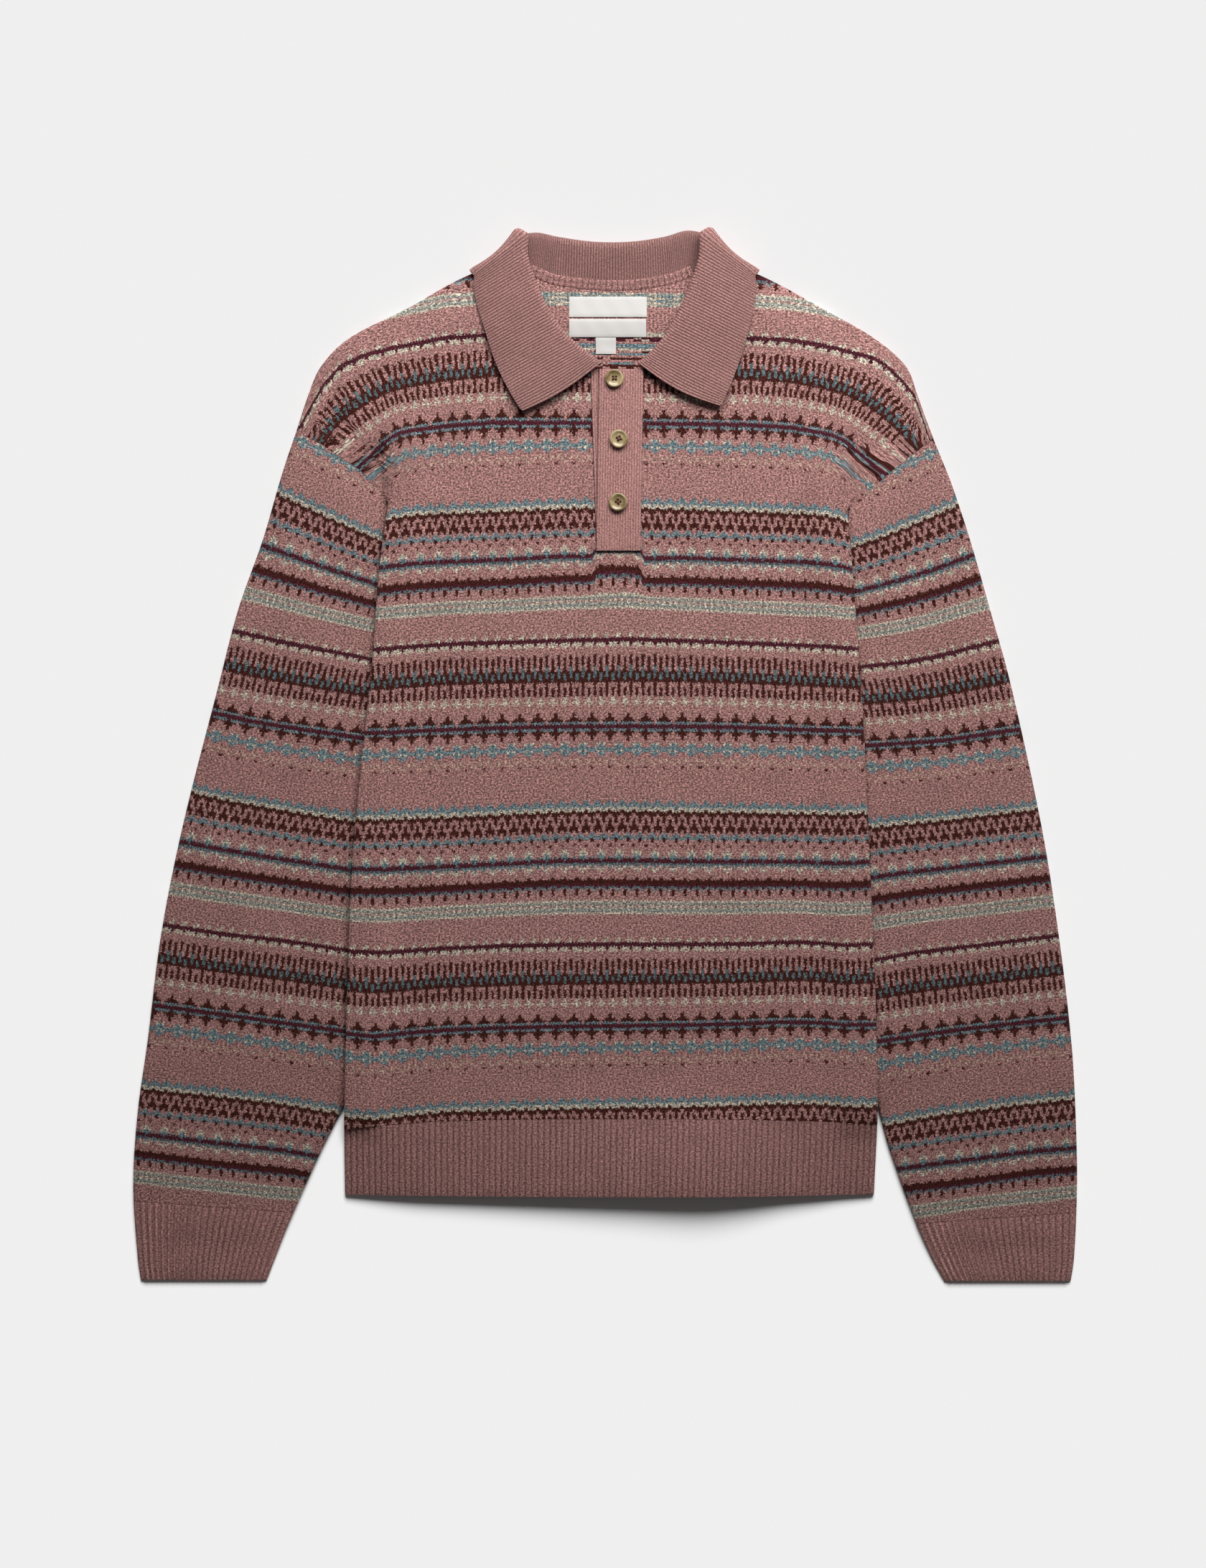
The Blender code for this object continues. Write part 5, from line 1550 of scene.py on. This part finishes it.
        def section(part: float) -> list[Vector]:
            """The rib line at a part of the way; its neck end goes straight, as the panels do."""
            index, within = stretch_at(spans, part * sum(spans))
            before, after = max(index - 1, 0), min(index + 2, len(lines) - 1)
            near = (spans[before], spans[index], spans[min(index + 1, len(spans) - 1)])
            picked = (lines[before], lines[index], lines[index + 1], lines[after])
            t = min(1.0, within)
            points = [self.curve_point(places, near, t) for places in zip(*picked)]
            points[0] = lines[index][0].lerp(lines[index + 1][0], t)
            return points

        return section

    def fine(self, points: list[Vector]) -> list[Vector]:
        """A rib line's six places as a smooth section: stand, half round fold, leaf."""
        neck, foot, apex, top, middle, edge = points
        centre = (foot + top) / 2
        out, up = apex - centre, top - centre
        section = [neck.lerp(foot, k / self.stand_steps) for k in range(self.stand_steps)]
        for k in range(self.fold_steps + 1):
            turn = pi * (k / self.fold_steps - 0.5)
            section.append(centre + cos(turn) * out + sin(turn) * up)
        bulge = middle - top.lerp(edge, 0.5)
        for k in range(1, self.leaf_steps + 1):
            part = k / self.leaf_steps
            section.append(top.lerp(edge, part) + sin(pi * part) * bulge)
        return section

    def middle(self) -> Grid:
        """Sections through the middle of the wall, several to a rib, evenly spaced."""
        def right_corner(part: float) -> list[Vector]:
            """The wearer's right corner, from the front to the back."""
            return self.corner_right.places(part, self.bulge)

        def left_corner(part: float) -> list[Vector]:
            """The wearer's left corner, from the back to the front."""
            return self.corner_left.places(1.0 - part, self.bulge)

        front_right = [rib.places(self.bulge) for rib in self.front_right] + [right_corner(0.0)]
        back = ([right_corner(1.0)] + [rib.places(self.bulge) for rib in self.back]
                + [left_corner(0.0)])
        front_left = [left_corner(1.0)] + [rib.places(self.bulge) for rib in self.front_left]
        stretches = (self.between(front_right), right_corner, self.between(back), left_corner,
                     self.between(front_left))
        lengths = []
        for section in stretches:
            places = [section(k / self.length_steps)[self.leaf_middle]
                      for k in range(self.length_steps + 1)]
            lengths.append(sum((end - start).length for start, end in zip(places, places[1:])))
        count = round(sum(lengths) / self.rib_pitch) * self.rib_steps
        sections = []
        for step in range(count + 1):
            index, within = stretch_at(lengths, sum(lengths) * step / count)
            places = stretches[index](min(1.0, within))
            from_end = min(step, count - step) * sum(lengths) / count
            if from_end < self.tip_radius:
                pull = self.tip_radius - sqrt(
                    self.tip_radius ** 2 - (self.tip_radius - from_end) ** 2)
                edge = places[-1]
                places[-1] = edge + (places[self.fold_top] - edge).normalized() * pull
            sections.append(self.fine(places))
        return sections

    def normals(self, grid: Grid) -> Grid:
        """Normals of the middle surface; the bunched neck edge takes its neighbours'."""
        rows, columns, reach = len(grid), len(grid[0]), self.normal_reach
        normals = []
        for r in range(rows):
            line = []
            for c in range(columns):
                along = grid[min(r + reach, rows - 1)][c] - grid[max(r - reach, 0)][c]
                over = grid[r][min(c + 1, columns - 1)] - grid[r][max(c - 1, 0)]
                line.append(along.cross(over).normalized())
            normals.append([line[self.stand_steps]] * 2 + line[2:])
        return normals

    def build(self, rib: Material, shaded: Material) -> None:
        """Makes the collar, with its ribs on the side that shows, and dresses it.

        Args:
            rib: the leaf's ribbed cloth.
            shaded: the same cloth inside the stand, in the neck's shade.
        """
        middle = self.middle()
        thin = [0.0] * (len(middle[0]) - len(self.thinning)) + list(self.thinning)
        half = self.wall / 2
        knots = []
        for index, (points, outward) in enumerate(zip(middle, self.normals(middle))):
            ribs = index / self.rib_steps
            wave = self.rib_height * rib_wave(ribs)
            # The ribs fade where the cloth turns to face down, and into the neck seam
            rises = [wave * clamp(1.0 + 2.0 * n.z) * clamp(c / self.seam_fade)
                     for c, n in enumerate(outward)]
            rises[-1] *= self.edge_rib
            along = [0.0]
            for start, end in zip(points, points[1:]):
                along.append(along[-1] + (end - start).length)
            knots.append([(p + (half + rise - t) * n, p - (half - t) * n,
                           (ribs * 2.0, length / ROW_PITCH))
                          for p, n, rise, t, length in zip(points, outward, rises, thin, along)])
        piece = Cloth(knots).build("folded_collar")
        dress(piece, "rib_knit", rib, shaded, node="collar")
        across = len(middle[0]) - 1
        inside = self.stand_steps + self.fold_steps // 2
        # The stand and the fold's inner half take the darker copy: painted shade.
        for index, face in enumerate(piece.data.polygons):
            face.material_index = int(index // 2 % across < inside)


@dataclass(frozen=True)
class NeckSeam:
    """The chain of linking stitches that covers the joint of collar and back neck."""
    right_end: float = -57.0
    left_end: float = 67.0
    right_beyond: Pair = (-61.0, 363.5)  # where the joint runs on to
    left_beyond: Pair = (73.0, 366.0)
    below: float = 1.6  # how far it reaches over the panel
    above: float = 6.4  # and up the collar's stand
    sunk: float = 0.3
    thickness: float = 0.45  # of its edges, over the cloth it lies on
    height: float = 0.8
    slope: float = 0.13  # of the stand it lies on
    dip_at: float = 1.6  # the sewing thread draws the chain in along a line
    dip_width: float = 0.7
    dip_depth: float = 0.5
    stitch: float = 2.2
    stitch_foot: float = 0.45  # height between two stitches, beside that of a stitch
    steps: int = 6
    across: int = 12

    def seam_y(self, x: float) -> float:
        """The joint's line at x."""
        places = [(rib.neck[0], rib.neck[1]) for rib in Collar.back]
        return through((self.right_beyond, *places, self.left_beyond), x)

    def build(self, rib: Material) -> None:
        """Makes the chain as one strip with a bump for every stitch."""
        count = round((self.left_end - self.right_end) / self.stitch) * self.steps
        knots = []
        for step in range(count + 1):
            x = mix(self.right_end, self.left_end, step / count)
            y = self.seam_y(x)
            way = Vector((1.0, (self.seam_y(x + 0.5) - self.seam_y(x - 0.5)), 0.0)).normalized()
            up = Vector((-way.y, way.x, 0.0))
            base = LAYERS.back_floor(x, y) + LAYERS.wall - self.sunk
            wave = mix(self.stitch_foot, 1.0, rib_wave(step / self.steps))
            line = []
            for k in range(self.across + 1):
                part = k / self.across
                off = mix(-self.below, self.above, part)
                floor = base + self.slope * max(0.0, off)
                dip = self.dip_depth * exp(-((off - self.dip_at) / self.dip_width) ** 2)
                bump = self.height * wave * (1.0 - dip) * (1.0 - abs(2.0 * part - 1.0) ** 4)
                place = Vector((x, y, floor)) + off * up
                line.append((place + Vector((0.0, 0.0, self.thickness + bump)), place,
                             (step / self.steps, -off / ROW_PITCH)))
            knots.append(line)
        dress(Cloth(knots).build("neck_seam_chain"), "rib_knit", rib)


# ---- placket, buttons and labels

@dataclass(frozen=True)
class Placket:
    """Two knitted bands; the top one laps over the other and holds the buttonholes."""
    top_y: float = 289.8
    foot_y: float = 153.4
    step: float = 3.0
    columns: int = 102
    under_right: Curve = ((290.3, -11), (153.1, -6.5))
    under_left: Curve = ((290.3, 28), (153.1, 26.2))
    top_right: Curve = ((289.8, -4.6), (153.1, -6.8))
    top_left: Curve = ((289.8, 28.9), (153.1, 26.5))
    wall: float = 2.2
    column_pitch: float = 1.97
    column_height: float = 0.3
    rounded: float = 1.7  # width over which the edges are rounded
    end_rounding: float = 0.4  # of the ends, beside that of the edges
    under_drop: float = 0.3  # how far each band's edges are rounded down
    top_drop: float = 0.8

    def top_floor(self, x: float, y: float) -> float:
        """Height of the top band's under side."""
        return LAYERS.front_floor(x, y) + LAYERS.wall + LAYERS.seam_gap

    def band(self, right: Curve, left: Curve, floor: Height,
             thickness: float, drop: float) -> Cloth:
        """One band.

        Args:
            right: its edge on the wearer's right, as (y, x) points.
            left: its other edge.
            floor: height that it lies on.
            thickness: its wall.
            drop: how far its edges are rounded down.

        Returns:
            The band.
        """
        knots = []
        rows = spread((self.top_y, self.foot_y), self.step)
        for index, y in enumerate(rows):
            line = []
            start, end = straight(right, y), straight(left, y)
            for k in range(self.columns + 1):
                part = k / self.columns
                x = mix(start, end, part)
                base = floor(x, y)
                edge = min(part, 1.0 - part) * abs(end - start)
                fall = drop * max(0.0, 1.0 - edge / self.rounded) ** 2
                if index in (0, len(rows) - 1):
                    fall = max(fall, self.end_rounding * drop)
                column = (x - start) / self.column_pitch
                relief = self.column_height * (rib_wave(column) - 1.0)
                line.append((Vector((x, y, base + thickness - fall + relief)),
                             Vector((x, y, base)), (column, -y / ROW_PITCH)))
            knots.append(line)
        return Cloth(knots)

    def build(self, rib: Material) -> None:
        """Makes both bands and dresses them."""
        under = self.band(self.under_right, self.under_left, LAYERS.front_floor, LAYERS.wall,
                          self.under_drop).build("under_placket_band")
        dress(under, "rib_knit", rib, node="placket_under")
        top = self.band(self.top_right, self.top_left, self.top_floor, self.wall,
                        self.top_drop).build("top_placket_band")
        dress(top, "rib_knit", rib, node="placket_top")


@dataclass(frozen=True)
class Button:
    """A turned horn button with a sunk middle and four holes, sewn on with two stitches."""
    number: int
    x: float
    y: float
    profile: Curve = ((0, 2), (3.6, 2), (4.3, 2.15), (4.8, 2.55), (5.4, 2.9), (6, 3), (6.5, 2.85),
                      (6.8, 2.5), (6.9, 2.1), (6.8, 1.5), (6.1, 0.7), (5, 0.1), (4.6, 0),
                      (0, 0))
    steps: int = 72
    hole_radius: float = 0.95
    hole_offset: float = 1.55
    hole_sides: int = 20
    bit_length: float = 8.0
    first_turn: float = 20.0  # degrees; each button is sewn on at its own turn
    next_turn: float = 25.0
    thread_width: float = 0.22  # half of it, across and up
    thread_height: float = 0.2
    thread_foot: float = 1.7  # height at which it comes out of a hole
    thread_rise: float = 0.75
    thread_cross: float = 0.35  # the second stitch lies this much higher
    thread_steps: int = 8
    thread_sides: int = 8

    def blank(self) -> Object:
        """The turned disc, before it is bored."""
        work = bmesh.new()
        spine = [work.verts.new((radius * MM, 0.0, height * MM))
                 for radius, height in self.profile]
        edges = [work.edges.new(pair) for pair in zip(spine, spine[1:])]
        bmesh.ops.spin(work, geom=spine + edges, cent=(0, 0, 0), axis=(0, 0, 1),
                       angle=tau, steps=self.steps, use_merge=True)
        bmesh.ops.remove_doubles(work, verts=work.verts, dist=0.01 * MM)
        name = f"horn_button_{self.number}"
        return put(name, write(work, bpy.data.meshes.new(name)))

    def holes(self) -> list[Vector]:
        """Places of the four holes around the middle."""
        turns = [self.first_turn + self.next_turn * self.number + 90.0 * k for k in range(4)]
        return [Vector((cos(radians(turn)), sin(radians(turn)), 0.0))
                * self.hole_offset for turn in turns]

    def bore(self, piece: Object) -> None:
        """Bores the four holes through the disc."""
        work = bmesh.new()
        for hole in self.holes():
            bit = bmesh.ops.create_cone(
                work, cap_ends=True, segments=self.hole_sides, depth=self.bit_length * MM,
                radius1=self.hole_radius * MM, radius2=self.hole_radius * MM)
            bmesh.ops.translate(work, verts=bit["verts"], vec=hole * MM)
        bits = put("bits", write(work, bpy.data.meshes.new("bits")))
        cut = piece.modifiers.new("bore", "BOOLEAN")
        cut.operation = "DIFFERENCE"
        cut.solver = "EXACT"
        cut.object = bits
        bored = bpy.data.meshes.new_from_object(
            piece.evaluated_get(bpy.context.evaluated_depsgraph_get()))
        piece.modifiers.clear()
        piece.data = bored
        bpy.data.objects.remove(bits)

    def thread(self) -> bpy.types.Mesh:
        """Two crossed stitches of thread over the sunk middle."""
        work = bmesh.new()
        holes = self.holes()
        for order, (start, end) in enumerate(zip(holes[:2], holes[2:])):
            way = (end - start).normalized()
            beside = Vector((-way.y, way.x, 0.0))
            rings = []
            for k in range(self.thread_steps + 1):
                part = k / self.thread_steps
                rise = self.thread_rise + self.thread_cross * order
                rise = self.thread_foot + rise * sin(pi * part) ** 0.5
                centre = start.lerp(end, part) + Vector((0, 0, rise))
                turns = [tau * j / self.thread_sides for j in range(self.thread_sides)]
                rings.append([work.verts.new((
                    centre + beside * cos(turn) * self.thread_width
                    + Vector((0, 0, sin(turn) * self.thread_height))) * MM)
                    for turn in turns])
            for first, second in zip(rings, rings[1:]):
                for a, b, c, d in zip(first, first[1:] + first[:1], second[1:] + second[:1],
                                      second):
                    work.faces.new((a, b, c, d))
            work.faces.new(rings[0][::-1])
            work.faces.new(rings[-1])
        return write(work, bpy.data.meshes.new(f"button_thread_{self.number}"))

    def build(self, horn: Material, thread: Material, base: float) -> None:
        """Turns the button, bores it and sews it on.

        Args:
            horn: the button's material.
            thread: the sewing thread's.
            base: height of the cloth it sits on.
        """
        place = Matrix.Translation(Vector((self.x, self.y, base)) * MM)
        piece = self.blank()
        self.bore(piece)
        piece.data.transform(place)
        smooth(piece.data, sharp_from=40.0)
        dress(piece, "horn", horn, node=f"button_{self.number}")
        stitches = self.thread()
        stitches.transform(place)
        smooth(stitches)
        dress(put(stitches.name, stitches), "rib_knit", thread)


@dataclass(frozen=True)
class Label:
    """A bare woven label on the inside of the back neck."""
    node: str
    x_from: float
    x_to: float
    top_y: float
    foot_y: float
    wall: float = 0.7
    limp: float = 0.15  # height of its soft waves
    waves: Pair = (0.21, 0.13)  # how fast they turn across and along it
    rim: float = 0.25  # its cut edges are thinner by this
    row_step: float = 1.5
    column_step: float = 2.0

    def build(self, tape: Material) -> None:
        """Makes the label, a little limp, and dresses it."""
        rows = spread((self.top_y, self.foot_y), self.row_step)
        columns = spread((self.x_from, self.x_to), self.column_step)
        knots = []
        for y in rows:
            line = []
            for x in columns:
                base = LAYERS.back_floor(x, y) + LAYERS.wall + LAYERS.seam_gap
                wave = self.limp * sin(self.waves[0] * x + self.waves[1] * y) ** 2
                at_rim = y in (rows[0], rows[-1]) or x in (columns[0], columns[-1])
                top = base + wave + self.wall - (self.rim if at_rim else 0.0)
                line.append((Vector((x, y, top)), Vector((x, y, base)), (x, y)))
            knots.append(line)
        piece = Cloth(knots).build(f"woven_{self.node}")
        dress(piece, "label_satin", tape, node=self.node)


# ---- studio

@dataclass(frozen=True)
class PaperFinish:
    """Matt white paper: a faint grain, and no gloss."""
    colour: str = "eeeeee"
    grain_scale: float = 900.0  # to a metre
    grain: float = 0.02

    def build(self) -> Material:
        """Makes the material."""
        material = bpy.data.materials.new("matt paper")
        sheet = Sheet(material)
        place = sheet.add("NewGeometry", output="Position")
        noise = sheet.add("TexNoise", place, None, self.grain_scale, 2.0, output="Fac")
        value = sheet.add("Math.MULTIPLY_ADD", noise, self.grain, 1.0 - 0.5 * self.grain)
        colour = sheet.add("VectorMath.SCALE", linear(self.colour)[:3], named={"Scale": value})
        sheet.add("OutputMaterial", sheet.add("BsdfPrincipled", named={
            "Base Color": colour, "Roughness": 1.0, "Specular IOR Level": 0.0}))
        return material


@dataclass(frozen=True)
class Studio:
    """A pale sheet of paper, soft light from the collar's side, and a camera straight above.

    The camera's numbers are in millimetres; those of the lights and the floor in metres.
    """
    centre: Pair = (-1.6, -21.9)  # what the camera looks at
    height: float = 1179.4  # of its view
    distance: float = 6000.0
    sensor: float = 36.0
    far: float = 50000.0
    ambient: float = 0.08
    floor_half: float = 6.0
    floor_z: float = -0.0002  # just under the cloth
    window_place: Triple = (0.2, 1.1, 0.86)
    window_size: Pair = (1.3, 0.5)
    window_power: float = 27.6
    paper_light: float = 4.2
    paper_light_angle: float = 34.0
    paper_light_way: Triple = (-0.12, -1.0, -0.98)

    def lay_floor(self) -> Object:
        """Lays the paper, and gives it back."""
        half, z = self.floor_half, self.floor_z
        mesh = bpy.data.meshes.new("floor")
        mesh.from_pydata([(-half, -half, z), (half, -half, z), (half, half, z), (-half, half, z)],
                         [], [(0, 1, 2, 3)])
        mesh.materials.append(PaperFinish().build())
        floor = put("floor", mesh)
        floor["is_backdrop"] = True
        return floor

    def hang(self, name: str, lamp: bpy.types.Light, way: Vector,
             lit: Iterable[Object]) -> Object:
        """Hangs a light.

        Args:
            name: what it is called.
            lamp: the light itself.
            way: the direction it shines in.
            lit: the objects that it lights.

        Returns:
            The light's object, still at the origin.
        """
        light = put(name, lamp)
        light.rotation_euler = way.to_track_quat("-Z", "Y").to_euler()
        receivers = bpy.data.collections.new(f"lit by the {name}")
        for thing in lit:
            receivers.objects.link(thing)
        light.light_linking.receiver_collection = receivers
        return light

    def light(self, floor: Object) -> None:
        """Lights the shirt from a window and the paper from the sky above it."""
        lamp = bpy.data.lights.new("window", "AREA")
        lamp.shape = "RECTANGLE"
        lamp.size, lamp.size_y = self.window_size
        lamp.energy = self.window_power
        window = self.hang("window", lamp, -Vector(self.window_place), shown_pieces())
        window.location = self.window_place
        sky = bpy.data.lights.new("paper light", "SUN")
        sky.energy = self.paper_light
        sky.angle = radians(self.paper_light_angle)
        self.hang("paper light", sky, Vector(self.paper_light_way), [floor])

    def build(self) -> None:
        """Lays the floor, hangs the lights and sets the camera up."""
        scene = bpy.context.scene
        scene.view_settings.view_transform = "Standard"
        scene.world = bpy.data.worlds.new("studio")
        sheet = Sheet(scene.world)
        sheet.add("OutputWorld", sheet.add("Background", linear("ffffff"), self.ambient))
        self.light(self.lay_floor())
        camera = bpy.data.cameras.new("camera")
        camera.sensor_width = self.sensor
        camera.lens = self.sensor * self.distance / self.height
        camera.clip_end = self.far * MM
        scene.camera = put("camera", camera)
        scene.camera.location = Vector((*self.centre, self.distance)) * MM


# ---- the whole shirt

BUTTON_PLACES = ((7, 282.7), (10.3, 237.3), (9.7, 189.8))
LABELS = (
    Label("neck_label", -27.0, 31.3, 344.3, 329.0),
    Label("fit_label", -27.0, 30.8, 327.6, 314.0),
    Label("size_tab", -7.0, 8.1, 313.6, 301.4),
)


def main() -> None:
    """Builds the shirt and the studio, and logs each piece's faces and area."""
    logging.basicConfig(level=logging.INFO, format="%(message)s")
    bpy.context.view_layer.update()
    wool = KnitFinish()
    knit = wool.build("banded lambswool")
    # The sleeves' copy of the knit is darker: painted shade.
    shaded_sleeve_knit = wool.build("banded lambswool, sleeves, painted shade", tone=0.94)
    inside = KnitFinish(chart=turned(CHART), vee=0.2, fuzz=0.8)
    # The wrong side shows its own floats, and is darker as painted shade inside the neck.
    reverse = inside.build("banded lambswool, wrong side, painted shade", reverse=True, tone=0.82)
    ribbed = KnitFinish(heather=2.6, groove_painted_shade=0.5)
    # The cuffs' copy of the rib is lighter, painted light; the hem's is darker, painted shade.
    cuff_rib = ribbed.build("ribbed lambswool, cuffs, painted light", patterned=False, tone=1.12)
    hem_rib = ribbed.build("ribbed lambswool, hem, painted shade", patterned=False, tone=0.93)
    fine = KnitFinish(heather=2.0, groove_painted_shade=0.8)
    collar_rib = fine.build("fine ribbed lambswool", patterned=False, tone=0.95)
    # The stand's copy of the rib is darker: painted shade inside the neck.
    shaded_stand_rib = fine.build("fine ribbed lambswool, inside, painted shade", patterned=False, tone=0.78)
    band = KnitFinish(heather=1.8, gap_painted_shade=0.8, groove_painted_shade=0.55, groove_step=1.0)
    placket_rib = band.build("placket lambswool", patterned=False, tone=1.15)
    horn = HornFinish().build()
    thread = PlainFinish("cotton thread", "7c4648").build()
    tape = PlainFinish("satin label tape", "d0cdc9", 0.55, 0.1, 0.5).build()

    Body().build(knit, reverse, hem_rib)
    for outline in OUTLINES:
        Sleeve(outline).build(shaded_sleeve_knit, cuff_rib)
    Collar().build(collar_rib, shaded_stand_rib)
    NeckSeam().build(hem_rib)
    placket = Placket()
    placket.build(placket_rib)
    for number, (x, y) in enumerate(BUTTON_PLACES, start=1):
        base = placket.top_floor(x, y) + placket.wall + LAYERS.seam_gap
        Button(number, x, y).build(horn, thread, base)
    for label in LABELS:
        label.build(tape)
    Studio().build()


if __name__ == "__main__":
    main()
